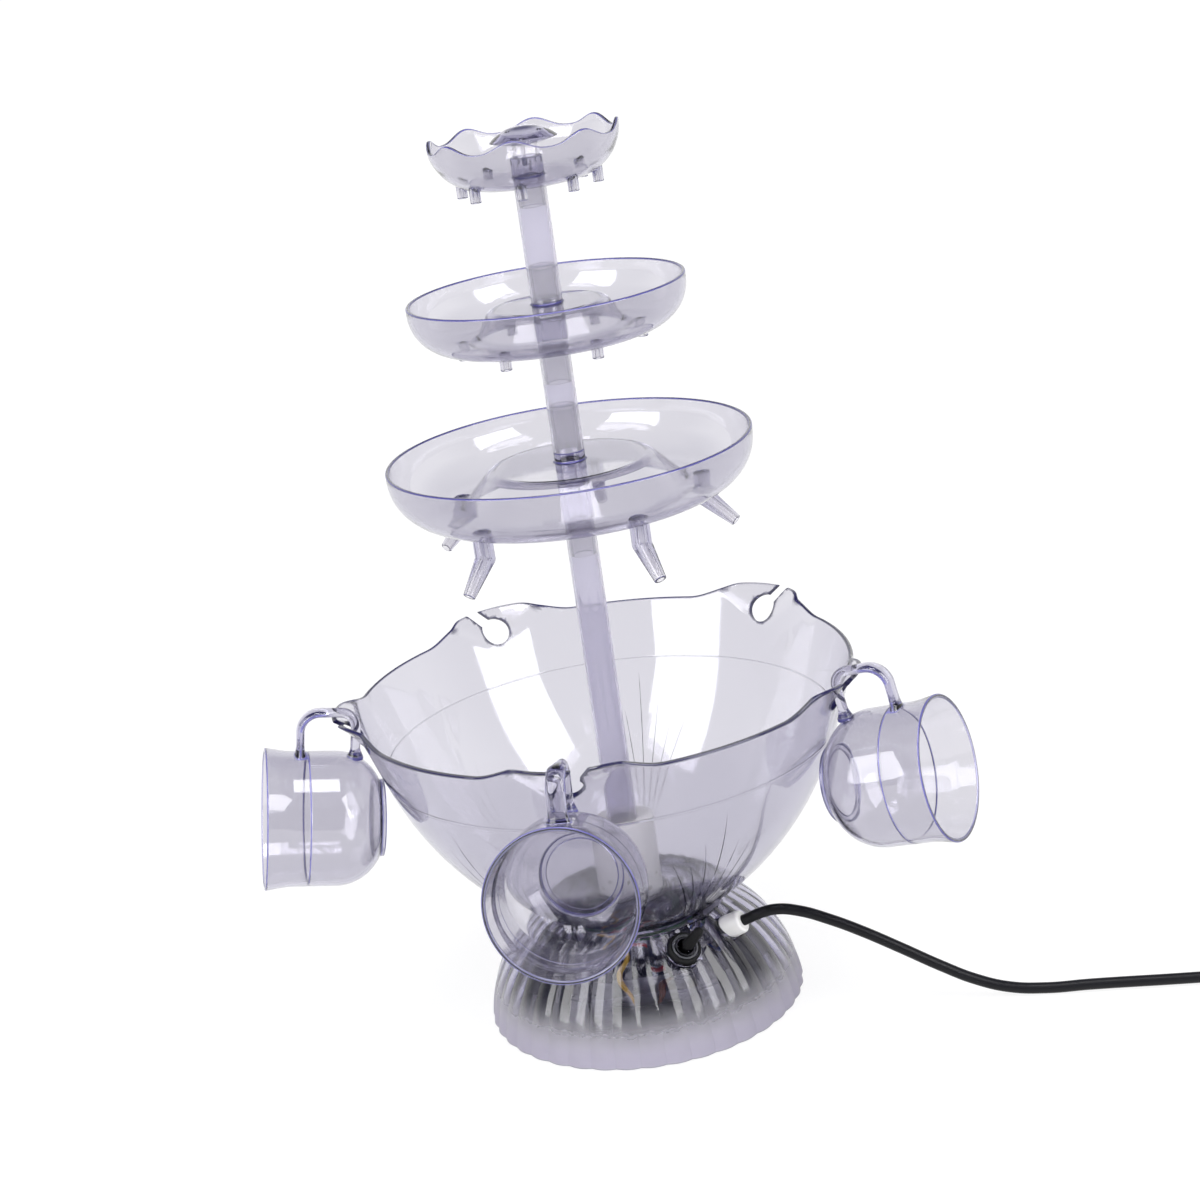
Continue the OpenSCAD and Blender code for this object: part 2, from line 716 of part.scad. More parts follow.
// Drive
module motor_can() color("Silver")
    difference() {
        rod(motor_r, can_z, bracket_z);
        rod(shaft_r + run, bracket_z - shaft_in, bracket_z + cut);
    }
module motor_end_cap() color("Black") rod(motor_r - cut, can_z - motor_cap_h, can_z);
module motor_bracket() color("DarkGray")
    difference() {
        union() {
            rod(motor_r + bracket_t, bracket_z, board_z);
            around(3, 0) translate([0, -boss_r, bracket_z]) cube([boss_at_r + boss_r, 2 * boss_r, bracket_t]);
        }
        rod(shaft_r + cut, bracket_z - cut, board_z + cut);
        around(3, 0) translate([boss_at_r, 0, 0]) rod(screw_r + slip, bracket_z - cut, board_z + cut, $fn = few);
    }
module motor_screws() color("Silver")
    around(3, 0) translate([boss_at_r, 0, 0]) {
        rod(screw_r, bracket_z - lap, bowl_z - boss_h + boss_h / 2, $fn = few);
        rod(screw_head_r, bracket_z - screw_head_h, bracket_z, $fn = few);
    }
module drive_shaft() color("Silver") rod(shaft_r, bracket_z - shaft_in, impeller_z + impeller_h + shaft_in);
module impeller() color("White")
    difference() {
        union() {
            rod(impeller_hub_r, impeller_z, impeller_z + impeller_h);
            around(blade_n, 0) translate([0, -blade_t / 2, impeller_z]) cube([impeller_r, blade_t, impeller_h]);
        }
        rod(shaft_r + run, impeller_z - cut, impeller_z + impeller_h + cut);
    }
module pump_cover() color("White")
    difference() {
        rod(pump_r, pump_z, pump_z + pump_h);
        rod(pump_chamber_r, pump_z - cut, pump_z + pump_chamber_h);
        rod(pump_way_r, pump_z, tube1_z + cut);
        rod(tube_r + slip, tube1_z, pump_z + pump_h + cut);
        for (i = [0, 1])
            around(inlet_n, i * 180 / inlet_n)
                translate([0, 0, pump_z + inlet_z + i * inlet_step])
                    rotate([0, 90, 0])
                        rod(inlet_r, pump_way_r, pump_r + cut, $fn = few);
    }

// Lights
module light_board() color("DarkOliveGreen")
    difference() {
        pipe(board_r, board_in_r, board_z, board_z + board_t);
        around(3, 0) translate([boss_at_r, 0, 0])
            rod(screw_r + slip, board_z - cut, board_z + board_t + cut, $fn = few);
    }
module lamps() color("White", 0.7)
    around(lamp_n, lamp_az) translate([(board_r + board_in_r) / 2, 0, board_z + board_t]) {
        cylinder(r = lamp_r, h = lamp_h, $fn = few);
        translate([0, 0, lamp_h]) sphere(lamp_r, $fn = few);
    }
module at_core() outward(core_az) translate([core_at_r, 0, plate_top]) children();
module block(x, y, from, to) translate([-x / 2, -y / 2, from]) cube([x, y, to - from]);
core_window = (core_w - 2 * core_limb - core_mid) / 2;
module transformer_core() color("Silver")
    at_core() difference() {
        block(core_d, core_w, 0, core_h);
        for (s = [-1, 1])
            translate([0, s * (core_mid + core_window) / 2, 0])
                block(core_d + cut, core_window, core_limb, core_h - core_limb);
    }
module transformer_coil() color("Black")
    at_core() difference() {
        block(coil_d, core_mid + 2 * core_window - 2 * gap, core_limb, core_h - core_limb);
        block(core_d + 2 * gap, core_mid, core_limb - cut, core_h - core_limb + cut);
    }

// Switch
module switch_body() color("Black")
    at_switch() {
        block(switch_w, switch_l, -seat_depth - frame_t - switch_d, -seat_depth - frame_t);
    }
module switch_terminals() color("Gold")
    at_switch() for (s = [-1, 0, 1])
        translate([0, s * switch_l / 3, 0])
            rod(terminal_r, -seat_depth - frame_t - switch_d - terminal_h, -seat_depth - frame_t - switch_d,
                $fn = few);
module switch_frame() color("Silver")
    at_switch() difference() {
        block(switch_w + frame_t, switch_l + frame_t, -seat_depth - frame_t, -seat_depth);
        rod(bushing_r - bushing_wall, -seat_depth - frame_t - cut, cut);
    }
module switch_bushing() color("Silver")
    at_switch() pipe(bushing_r, bushing_r - bushing_wall, -seat_depth, bushing_up);
module switch_washer() color("Gray") at_switch() pipe(washer_r, bushing_r + slip, 0, collar_h + lap);
module switch_collar() color("Black")
    at_switch() difference() {
        union() {
            rod(collar_r, 0, collar_h - cut);
            translate([0, 0, collar_h - cut]) cylinder(r1 = collar_r, r2 = collar_r - cut, h = cut);
        }
        rod(washer_r + slip, -cut, collar_h + cut);
    }
module toggle_lever() color("Black")
    at_switch() rotate([-throw, 0, 0]) {
        sphere(lever_r + lap, $fn = few);
        rod(lever_r, 0, lever_len / 2);
        translate([0, 0, bushing_up + cut])
            cylinder(r1 = lever_foot_r, r2 = lever_tip_r, h = lever_len - bushing_up - cut);
        translate([0, 0, lever_len]) sphere(lever_tip_r);
    }

// Wires inside the base
wire_sides = 8;
terminal_in = seat_depth - seat_up + frame_t + switch_d + terminal_h + wire_r;
terminal_at_r = dome_r(switch_z) - terminal_in * cos(switch_elev);
terminal_z = switch_z - terminal_in * sin(switch_elev);
function at_terminal(s) = polar(switch_az, terminal_at_r, terminal_z)
    + s * switch_l / 3 * [cos(switch_az), sin(switch_az), 0];
coil_top = plate_top + core_h - core_limb + wire_r;
coil_out_r = core_at_r + (core_d + coil_d) / 4;
board_edge = board_r + wire_r;
board_mid_z = board_z + board_t / 2;
// Places between the board's edge and the shell, as a share of the way
function out_r(share, z) = board_edge + share * (arc_r(dome_c, dome_in_r, z) - board_edge);
red_share = 0.48;
yellow_shares = [0.58, 0.63];
red_path = [at_terminal(-1), polar(22, terminal_at_r - switch_w / 2, terminal_z), polar(13, 42, 43),
    polar(13, out_r(red_share, 51), 51), polar(8, 45, 52), polar(0, 40, 50), polar(-5, board_edge, board_mid_z)];
yellow_path = [polar(core_az - 8, coil_out_r, coil_top), polar(0, 59.5, 28),
    polar(-3, out_r(yellow_shares[1], 40), 40), polar(0, out_r(yellow_shares[0], 50), 50), polar(-8, 45, 51),
    polar(-16, 40, 50), polar(-20, board_edge, board_mid_z)];
brown_path = [polar(core_az + 9, coil_out_r, coil_top), polar(19, 59, 27.5), polar(20, 55, 31),
    polar(24, terminal_at_r + lever_r, terminal_z - terminal_h + terminal_r),
    polar(29, terminal_at_r - 2 * wire_r, terminal_z - terminal_h / 2 - terminal_r / 2), at_terminal(0)];
blue_path = [polar(60, board_edge, board_mid_z), polar(62, 41, 49), polar(70, 43, 38), polar(78, 36, 20),
    polar(80, 26, 11), polar(80, motor_r - cut + wire_r, can_z - motor_cap_h / 2)];
module wire(p) swept(smooth(p, 3), wire_r, wire_sides, [0, 1, 0]);
module wire_red() color("Red") wire(red_path);
module wire_yellow() color("Gold") wire(yellow_path);
module wire_brown() color("SaddleBrown") wire(brown_path);
module wire_blue() color("SteelBlue") wire(blue_path);

// Cord
module cord_bush() color("White")
    at_bush() difference() {
        union() {
            rod(bush_neck_r, -bush_seat - bush_in, lap);
            rod(bush_collar_r, -bush_seat - seat_t, 0);
            cylinder(r1 = bush_r, r2 = bush_tip_r, h = bush_out);
        }
        rod(cord_r + gap, -bush_seat - bush_in - cut, bush_out + cut);
    }
bush_unit = [cos(bush_elev) * sin(bush_dir_az), -cos(bush_elev) * cos(bush_dir_az), sin(bush_elev)];
bush_at = polar(bush_az, dome_r(bush_z), bush_z);
function along_bush(s) = bush_at + (bush_seat + s) * bush_unit;
cord_sides = 10;
cord_in = coil_x - 4 * cord_r;
cord_path = concat(
    [for (s = [-bush_in, 0, cord_straight / 2, cord_straight]) along_bush(s)],
    [[82, -30, 61.2], [94, -29, 58.8], [110, -29, 52.5], [126, -29, 44.5], [146, -29, 33], [167, -29, 20.5],
     [184, -29, 11.6], [202, -29, 5.6], [222, -29, coil_z - 0.6], [244, -29, coil_z],
     [288, coil_y - coil_r - 0.6, coil_z], [330, coil_y - coil_r, coil_z], [cord_in, coil_y - coil_r, coil_z]]);
module power_cord() color("Black") swept(smooth(cord_path, 2), cord_r, cord_sides, [0, 0, 1]);
function climb(u) = u < 0 ? 0 : u > 1 ? 1 : u * u * (3 - 2 * u);
function coil_point(u) =
    let (r = coil_r - coil_pitch * (coil_turn_in - abs(u - coil_turn_in)),
         z = coil_z + coil_pitch * climb((u - coil_turn_in + coil_climb) / (2 * coil_climb)))
    [coil_x + r * sin(360 * u), coil_y - r * cos(360 * u), z];
coil_steps = 24;
coil_n = floor(coil_turns * coil_steps + 0.5);
coil_last = coil_point(coil_turns);
coil_path = concat(
    [[cord_in + gap, coil_y - coil_r, coil_z]],
    [for (i = [0 : coil_n]) coil_point(i / coil_steps)],
    [coil_last + [0, 2 * cord_r, 0]]);
coil_clear = min([for (i = [1 : coil_n - 13], j = [i + 12 : coil_n])
    norm(coil_path[i] - coil_path[j])]) - 2 * cord_r;
echo(coil_clear = coil_clear);
module cord_coil() color("Black") swept(coil_path, cord_r, 6, [0, 0, 1]);
tie_in = coil_r - coil_turn_in * coil_pitch - 2 * cord_r;
tie_out = coil_r + cord_r + cut;
module cord_tie() color("DimGray")
    translate([coil_x, coil_y + tie_w / 2, 0])
        rotate([90, 0, 0])
            linear_extrude(tie_w)
                difference() {
                    translate([-tie_out - tie_t, 0])
                        square([tie_out - tie_in + 2 * tie_t, 2 * plug_z - coil_z + tie_t]);
                    translate([-tie_out, tie_t]) square([tie_out - tie_in, 2 * plug_z - coil_z - tie_t]);
                }
plug_at = coil_last + [0, 2 * cord_r + gap, 0];
module plug_body() color("Black")
    translate(plug_at) {
        rotate([-90, 0, 0]) cylinder(r1 = cord_r + gap, r2 = plug_neck_w / 2, h = plug_sleeve);
        translate([0, plug_sleeve, -plug_z])
            linear_extrude(2 * plug_z)
                polygon([[-plug_neck_w / 2, 0], [plug_neck_w / 2, 0], [plug_w / 2, plug_len / 2],
                    [plug_w / 2, plug_len], [-plug_w / 2, plug_len], [-plug_w / 2, plug_len / 2]]);
    }
module plug_pins() color("Silver")
    translate(plug_at + [0, plug_sleeve + plug_len, 0])
        for (s = [-1, 1]) translate([s * pin_gap / 2, 0, 0]) rotate([-90, 0, 0]) cylinder(r = pin_r, h = pin_len);

// Tower
module tube(from, to) color("Lavender", 0.4) pipe(tube_r, tube_in_r, from, to);
module lower_tube() tube(tube1_z, hub1_z);
module middle_tube() tube(tube2_z, hub2_z);
module upper_tube() tube(tube3_z, crown_z);
module dish_section(r, depth, corner, top_r, top_h, slope_run) {
    rise = top_h - tier_wall;
    back = tier_wall * (sqrt(rise * rise + slope_run * slope_run) - slope_run) / rise;
    translate([r - corner, corner])
        intersection() {
            difference() {
                circle(corner);
                circle(corner - tier_wall);
            }
            translate([0, -corner]) square(corner);
        }
    translate([r - tier_wall, corner]) square([tier_wall, depth - corner]);
    polygon([[r - corner, 0], [r - corner, tier_wall], [top_r + slope_run, tier_wall], [top_r, top_h],
        [tube_in_r, top_h], [tube_in_r, top_h - tier_wall], [top_r - back, rise], [top_r + slope_run - back, 0]]);
}
module hub_section(h, low, up) {
    translate([spigot_in_r, -low]) square([tube_r - spigot_in_r, h]);
    translate([spigot_in_r, -low - spigot_down]) square([spigot_r - spigot_in_r, h + spigot_down + up]);
}
module tier(z, r, depth, corner, top_r, top_h, slope_run, h, low, up)
    translate([0, 0, z])
        rotate_extrude($fn = 180) {
            dish_section(r, depth, corner, top_r, top_h, slope_run);
            hub_section(h, low, up);
        }
module large_tier() color("Lavender", 0.4)
    difference() {
        tier(large_z, large_r, large_depth, large_corner, large_top_r, large_top_h, large_run,
            large_hub_h, large_hub_low, large_spigot);
        around(spout_n, hook_az / 2) translate([spout_at_r, 0, 0])
            rod(spout_neck_r, large_z - cut, large_z + tier_wall + cut, $fn = few);
    }
spout_foot = large_z - spout_h;
module spout(k) color("Lavender", 0.4)
    outward(hook_az / 2 + k * hook_az)
        translate([spout_at_r, 0, 0])
            difference() {
                union() {
                    rod(spout_r, spout_foot, large_z);
                    rod(spout_neck_r - slip, spout_foot, large_z + tier_wall);
                    translate([0, 0, spout_foot]) {
                        sphere(spout_r);
                        rotate([0, 90 + spout_slant, 0]) cylinder(r1 = spout_r, r2 = spout_tip_r, h = spout_len);
                    }
                }
                rod(spout_bore_r, spout_foot, large_z + tier_wall + cut, $fn = few);
                translate([0, 0, spout_foot])
                    rotate([0, 90 + spout_slant, 0])
                        rod(spout_bore_r, -spout_bore_r / 2, spout_len + cut, $fn = few);
            }
module middle_tier() color("Lavender", 0.4)
    difference() {
        union() {
            tier(middle_z, middle_r, middle_depth, middle_corner, middle_top_r, middle_top_h, middle_run,
                middle_hub_h, middle_hub_low, middle_spigot);
            around(middle_jets, jet_az) translate([middle_jet_at_r, 0, 0])
                rod(middle_jet_r, middle_z - middle_jet_len, middle_z + lap, $fn = few);
        }
        around(middle_jets, jet_az) translate([middle_jet_at_r, 0, 0])
            rod(jet_bore_r, middle_z - middle_jet_len - cut, middle_z + tier_wall + cut, $fn = few);
    }
jet_az = -22;

// Crown
crown_az = 3;
wave_r = (wave_w * wave_w + wave * wave) / (2 * wave);
module crown_solid(inset)
    rotate_extrude($fn = 180)
        intersection() {
            union() {
                translate([crown_r - crown_corner, crown_corner]) circle(crown_corner - inset);
                square([crown_r - crown_corner, crown_h + inset]);
                translate([0, crown_corner]) square([crown_r - inset, crown_h + inset - crown_corner]);
            }
            translate([0, inset]) square([crown_r, crown_h]);
        }
module crown() color("Lavender", 0.4)
    translate([0, 0, crown_z])
        difference() {
            union() {
                difference() {
                    union() {
                        crown_solid(0);
                        around(crown_peaks, crown_az) translate([crown_jet_at_r, 0, 0])
                            rod(crown_jet_r, crown_jet_low - crown_corner / 4, crown_corner / 4, $fn = few);
                    }
                    crown_solid(crown_wall);
                    around(crown_peaks, crown_az + 180 / crown_peaks)
                        translate([crown_r / 2, 0, crown_h - wave + wave_r])
                            rotate([0, 90, 0])
                                cylinder(r = wave_r, h = crown_r);
                }
                rod(tube_r, lap, crown_hub_h);
                rod(spigot_r, -crown_spigot, crown_wall);
            }
            rod(spigot_in_r, -crown_spigot - cut, crown_hub_h + cut);
            block(2 * tube_r, crown_slot_w, -crown_spigot - cut, -lap);
            around(3, crown_az) translate([(tube_r + spigot_in_r) / 2, 0, 0])
                rod(cap_post_r + slip, crown_hub_h - cap_post_in, crown_hub_h + cut, $fn = few);
            around(crown_peaks, crown_az) translate([crown_jet_at_r, 0, 0])
                rod(jet_bore_r, crown_jet_low - crown_corner, crown_corner / 2, $fn = few);
        }
function lens_r(rise) = (cap_r * cap_r + rise * rise) / (2 * rise);
module crown_cap() color("Lavender", 0.4)
    translate([0, 0, crown_z]) {
        rotate_extrude()
            intersection() {
                translate([0, cap_at + cap_rise - lens_r(cap_rise)]) circle(lens_r(cap_rise), $fn = 180);
                translate([0, cap_at - cap_drop + lens_r(cap_drop)]) circle(lens_r(cap_drop), $fn = 360);
                translate([0, cap_at - cap_drop]) square([cap_r, cap_rise + cap_drop]);
            }
        around(3, crown_az) translate([(tube_r + spigot_in_r) / 2, 0, 0])
            rod(cap_post_r, crown_hub_h - cap_post_in, cap_at, $fn = few);
    }

// Cups: the foot clears the bowl, the inner leg passes the middle of the notch, the bar clears the rim
function wall_r(z) = z > shoulder_z
    ? bowl_shoulder_r + (z - shoulder_z) * tan(bowl_flare)
    : arc_r(bowl_c, bowl_arc_r, z);
cup_z = rim_z - cup_hang;
cup_at_r = wall_r(cup_z + cup_foot_r * cos(cup_tilt)) + cup_foot_r * sin(cup_tilt) + cup_clear;
leg_in_at = (notch_at[0] - cup_at_r) * cos(cup_tilt) + (notch_z - cup_z) * sin(cup_tilt);
rim_in_r = ear_c[0] - sqrt(pow(ear_arc_r + bowl_wall, 2) - pow(rim_z - ear_c[1], 2));
bar_at = (rim_z - cup_z) * cos(cup_tilt) - (rim_in_r - cup_at_r) * sin(cup_tilt) + bar_clear + bar_t / 2;
echo(cup_at_r = cup_at_r, leg_in_at = leg_in_at, bar_at = bar_at);
cup_arc_c = [cup_r - cup_shoulder_r, cup_shoulder_r];
module cup_section(inset, low) {
    intersection() {
        union() {
            translate(cup_arc_c) circle(cup_shoulder_r - inset);
            square([cup_arc_c[0], cup_len + cut]);
        }
        translate([0, low]) square([cup_mouth_r, cup_shoulder_r - low]);
    }
    polygon([[0, cup_shoulder_r], [cup_r - inset, cup_shoulder_r], [cup_r - inset, cup_len - cup_lip],
        [cup_mouth_r - inset, cup_len + (inset > 0 ? cut : 0)], [0, cup_len + (inset > 0 ? cut : 0)]]);
}
module handle() {
    translate([0, bar_w / 2, 0])
        rotate([90, 0, 0])
            linear_extrude(bar_w) {
                translate([leg_out_at - bar_t / 2, cup_r - cup_wall])
                    square([bar_t, bar_at - bar_bend - cup_r + cup_wall]);
                translate([leg_out_at - bar_bend, bar_at - bar_bend])
                    intersection() {
                        difference() {
                            circle(bar_bend + bar_t / 2);
                            circle(bar_bend - bar_t / 2);
                        }
                        square(bar_bend + bar_t);
                    }
                translate([leg_in_at + leg_bend, bar_at - bar_t / 2])
                    square([leg_out_at - bar_bend - leg_in_at - leg_bend, bar_t]);
            }
    translate([leg_in_at + leg_bend, 0, bar_at - leg_bend])
        rotate([90, 0, 0])
            rotate([0, 0, 90])
                rotate_extrude(angle = 90)
                    translate([leg_bend, 0]) circle(leg_r, $fn = few);
    translate([leg_in_at, 0, 0]) {
        rod(leg_r, cup_r - 2 * cup_foot_h, bar_at - leg_bend, $fn = few);
        translate([0, 0, cup_r - cup_foot_h]) cylinder(r1 = root_r, r2 = leg_r, h = root_h, $fn = few);
        rod(root_r, cup_r - 2 * root_r, cup_r - cup_foot_h, $fn = few);
    }
}
module cup(az) color("Lavender", 0.4)
    outward(az)
        translate([cup_at_r, 0, cup_z])
            rotate([0, -cup_tilt, 0])
                difference() {
                    union() {
                        rotate([0, 90, 0]) {
                            rotate_extrude() cup_section(0, cup_foot_h);
                            pipe(cup_foot_r, cup_foot_r - cup_foot_wall, 0, cup_foot_h + lap);
                        }
                        handle();
                    }
                    rotate([0, 90, 0]) rotate_extrude() cup_section(cup_wall, cup_foot_h + cup_bottom_t);
                }
module cup_left() cup(-hook_az);
module cup_front() cup(0);
module cup_right() cup(hook_az);

module spout_1() spout(0);
module spout_2() spout(1);
module spout_3() spout(2);
module spout_4() spout(3);
module spout_5() spout(4);

base_shell();
base_plate();
rubber_feet();
plate_screws();
dark_panels();
bowl();
shaft_seal();
motor_can();
motor_end_cap();
motor_bracket();
motor_screws();
drive_shaft();
impeller();
pump_cover();
light_board();
lamps();
transformer_core();
transformer_coil();
switch_body();
switch_terminals();
switch_frame();
switch_bushing();
switch_washer();
switch_collar();
toggle_lever();
wire_red();
wire_yellow();
wire_brown();
wire_blue();
cord_bush();
power_cord();
cord_coil();
cord_tie();
plug_body();
plug_pins();
lower_tube();
large_tier();
spout_1();
spout_2();
spout_3();
spout_4();
spout_5();
middle_tube();
middle_tier();
upper_tube();
crown();
crown_cap();
cup_left();
cup_front();
cup_right();
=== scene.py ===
# %% [markdown]
# # A tiered drinks fountain
# The real fountain is a stack of clear moulded plastic: a lighted base, a deep bowl with five hooks for cups,
# and a tower of three dishes that a small pump feeds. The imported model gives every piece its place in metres,
# so nothing here has to be fitted by eye: each new piece is modelled where its solid already stands.

# %% The frame
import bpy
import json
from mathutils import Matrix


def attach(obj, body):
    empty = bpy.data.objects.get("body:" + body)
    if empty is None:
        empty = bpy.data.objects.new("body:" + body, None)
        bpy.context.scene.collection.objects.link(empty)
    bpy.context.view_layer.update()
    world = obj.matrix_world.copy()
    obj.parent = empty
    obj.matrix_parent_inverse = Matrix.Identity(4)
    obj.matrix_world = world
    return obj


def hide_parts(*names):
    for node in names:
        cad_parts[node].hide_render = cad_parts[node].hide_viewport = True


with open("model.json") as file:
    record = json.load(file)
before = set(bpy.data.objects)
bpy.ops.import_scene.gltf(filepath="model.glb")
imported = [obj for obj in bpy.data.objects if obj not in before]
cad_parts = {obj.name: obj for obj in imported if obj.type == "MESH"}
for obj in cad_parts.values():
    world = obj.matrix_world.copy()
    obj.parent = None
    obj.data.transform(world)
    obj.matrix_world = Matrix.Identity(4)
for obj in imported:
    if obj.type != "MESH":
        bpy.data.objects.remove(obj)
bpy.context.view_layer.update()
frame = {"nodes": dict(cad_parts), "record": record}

import json
import math
import bmesh
import bpy
from mathutils import Matrix, Vector

MM = 0.001
body_of = {n: body for body, members in frame["record"]["behaviour"]["bodies"].items() for n in members}

# %% [markdown]
# ## Camera
# The photograph was taken with a slight roll, from above the front. A camera could be turned with angles,
# but its three axes as vectors are easier to check: right, up, and the way it looks.

# %% Camera
camera_data = bpy.data.cameras.new("photo_camera")
camera_data.lens = 70.0
camera_data.sensor_width = 36.0
camera_data.clip_end = 100.0
camera = bpy.data.objects.new("photo_camera", camera_data)
bpy.context.scene.collection.objects.link(camera)
stand = Vector((217.1, -1171.2, 613.9)) * MM
look = Vector((-0.1698, 0.9377, -0.3032)).normalized()
right = look.cross(Vector((0.0880, 0.3208, 0.9430))).normalized()
up = right.cross(look)
camera.matrix_world = Matrix.Translation(stand) @ Matrix((right, up, -look)).transposed().to_4x4()
bpy.context.scene.camera = camera
bpy.context.scene.view_settings.view_transform = "Standard"
print("camera:", [round(c, 3) for c in camera.location], "lens", camera_data.lens)

# %% [markdown]
# ## Materials: tools
# A colour picked from a picture is sRGB, and shaders work in linear light, so one function converts hex codes.
# Another adds a node, sets its inputs and links it. Each finish below is then a short list of nodes.

# %% Material tools
def linear(code):
    """#rrggbb as the linear colour that a shader takes."""
    parts = [int(code[i:i + 2], 16) / 255 for i in (1, 3, 5)]
    return [c / 12.92 if c <= 0.04045 else ((c + 0.055) / 1.055) ** 2.4 for c in parts] + [1.0]


def put(tree, kind, inputs=None, **own):
    """Adds a node. Its inputs take a value, a hex colour or another node's output."""
    made = tree.nodes.new("ShaderNode" + kind)
    for key, value in own.items():
        setattr(made, key, value)
    for key, value in (inputs or {}).items():
        if isinstance(value, bpy.types.NodeSocket):
            tree.links.new(value, made.inputs[key])
        else:
            made.inputs[key].default_value = linear(value) if isinstance(value, str) else value
    return made


def calc(tree, operation, *terms, clamp=False):
    """A sum on numbers and sockets."""
    return put(tree, "Math", dict(enumerate(terms)), operation=operation, use_clamp=clamp).outputs[0]


def remap(tree, value, from_min=0.0, from_max=1.0, to_min=0.0, to_max=1.0, smooth=False, clamp=True):
    """Carries one range over to another."""
    return put(tree, "MapRange", {"Value": value, "From Min": from_min, "From Max": from_max,
                                  "To Min": to_min, "To Max": to_max},
               interpolation_type="SMOOTHSTEP" if smooth else "LINEAR", clamp=clamp).outputs["Result"]


def blend(tree, share, first, second):
    """Mixes two colours by a share from 0 to 1."""
    return put(tree, "Mix", {0: share, 6: first, 7: second}, data_type="RGBA").outputs[2]


def per(size_mm):
    """Texture scale for a pattern whose features are this many millimetres across."""
    return 1 / (size_mm * MM)


def noise(tree, place, size_mm, detail):
    """A cloudy pattern from 0 to 1."""
    return put(tree, "TexNoise", {"Scale": per(size_mm), "Detail": detail, "Vector": place}).outputs["Fac"]


def relief(tree, height, deep_mm, strength):
    """A normal bent by a height."""
    return put(tree, "Bump", {"Strength": strength, "Distance": deep_mm * MM, "Height": height}).outputs["Normal"]


def blank(name):
    """A material with an empty tree, and its object coordinates."""
    material = bpy.data.materials.new(name)
    material.use_nodes = True
    material.node_tree.nodes.clear()
    return material, material.node_tree, put(material.node_tree, "TexCoord").outputs["Object"]

# %% [markdown]
# ## Material: clear polystyrene
# The bowl, dishes, tubes and cups are injection-moulded crystal polystyrene with a trace of violet dye.
# A thin wall looks almost colourless, and an edge, where light runs a long way in the plastic, looks violet.
# So part of the colour sits in the volume as absorption, and lips, which a number on each point of the mesh
# marks, get a stronger tint: partly the dye along that long path, partly a painted dark outline that stands in
# for the dark room the edges refract. Where a spigot sits in a tube, another number makes the wall paler.
# The surface keeps the slow waviness of moulding and a little handling wear in its roughness.

# %% Clear polystyrene
DYE = "#4830b0"
DYE_DENSITY = 62.0
NESTED_CAST = "#f3f2f5"
# The satin colour is partly the frosted plastic's own tone and partly painted shade, darker towards the table.
SATIN_TINT_AND_SHADE, SATIN_ROUGH, SATIN_MILK = "#bbb6c8", 0.45, 1.2
MILKY_CLEARNESS = 0.45


def clear_polystyrene(name, frost=None, cast="#ecebec", edge="#55529c", dye_density=DYE_DENSITY, haze=0.0):
    """Clear dyed plastic. frost gives a socket from 0 to 1 that makes it matt and greyer violet, partly as painted
    shade.

    cast is the wall's tint, edge the colour of a lip, partly dye and partly a painted dark outline, and haze how
    milky the plastic is all through.
    """
    material, tree, place = blank(name)
    rough = remap(tree, noise(tree, place, 6, 4.0), 0.4, 0.8, 0.03, 0.09)
    lip = put(tree, "Attribute", attribute_name="lip").outputs["Fac"]
    hub = put(tree, "Attribute", attribute_name="hub").outputs["Fac"]
    # Lips take the edge colour and lose clearness: partly the dye's long path, partly a painted dark outline.
    tint = blend(tree, lip, blend(tree, hub, cast, NESTED_CAST), edge)
    milky = calc(tree, "MAXIMUM", lip, haze)
    if frost:
        matt = frost(tree, place)
        rough = calc(tree, "MULTIPLY_ADD", matt, SATIN_ROUGH, rough)
        milky = calc(tree, "MAXIMUM", milky, calc(tree, "MULTIPLY", matt, SATIN_MILK))
        # Where matt, the tint goes to the satin colour: partly frost, partly painted shade darkening the foot towards
        # the table.
        tint = blend(tree, calc(tree, "SUBTRACT", matt, lip, clamp=True), tint, SATIN_TINT_AND_SHADE)
    skin = put(tree, "BsdfPrincipled", {
        "IOR": 1.55, "Base Color": tint, "Roughness": rough,
        "Transmission Weight": remap(tree, milky, to_min=1.0, to_max=MILKY_CLEARNESS, clamp=False),
        "Normal": relief(tree, noise(tree, place, 35, 1.0), 0.05, 1.0)})
    dye = put(tree, "VolumeAbsorption", {"Color": DYE, "Density": dye_density})
    put(tree, "OutputMaterial", {"Surface": skin.outputs["BSDF"], "Volume": dye.outputs["Volume"]})
    return material


clear = clear_polystyrene("clear_polystyrene")
print("material:", clear.name)

# %% [markdown]
# ## Cord
# A mains lead is a fixed length of something flexible. It leaves the base through a white bush, falls to the
# table and lies there, and what the photograph doesn't show is put away as a tied coil. One Bezier curve with
# automatic handles runs through the same points as the solid, and a round bevel gives it its thickness.

# %% Cord route
def bearing(az, r, z):
    """A point by its angle from the front hook, its distance from the tower and its height, in millimetres."""
    return Vector((r * math.sin(math.radians(az)), -r * math.cos(math.radians(az)), z)) * MM


def arc_r(c, r, z):
    """Distance from the tower of an arc round c, at a height."""
    return c[0] + math.sqrt(r ** 2 - (z - c[1]) ** 2)


def eased(s):
    """0 to 1 with soft ends."""
    s = min(max(s, 0), 1)
    return s * s * (3 - 2 * s)


DOME_C, DOME_R = (7.647, -7.3), 81.0
FITTINGS_Z = 52
BUSH_AZ, BUSH_TURN, BUSH_RISE = 64, math.radians(80), math.radians(25)
COIL_AT, COIL_R, COIL_TURNS, COIL_STEPS = (380, 14), 42, 5.25, 24
CORD_Z, CORD_PITCH = 4.3, 6.6

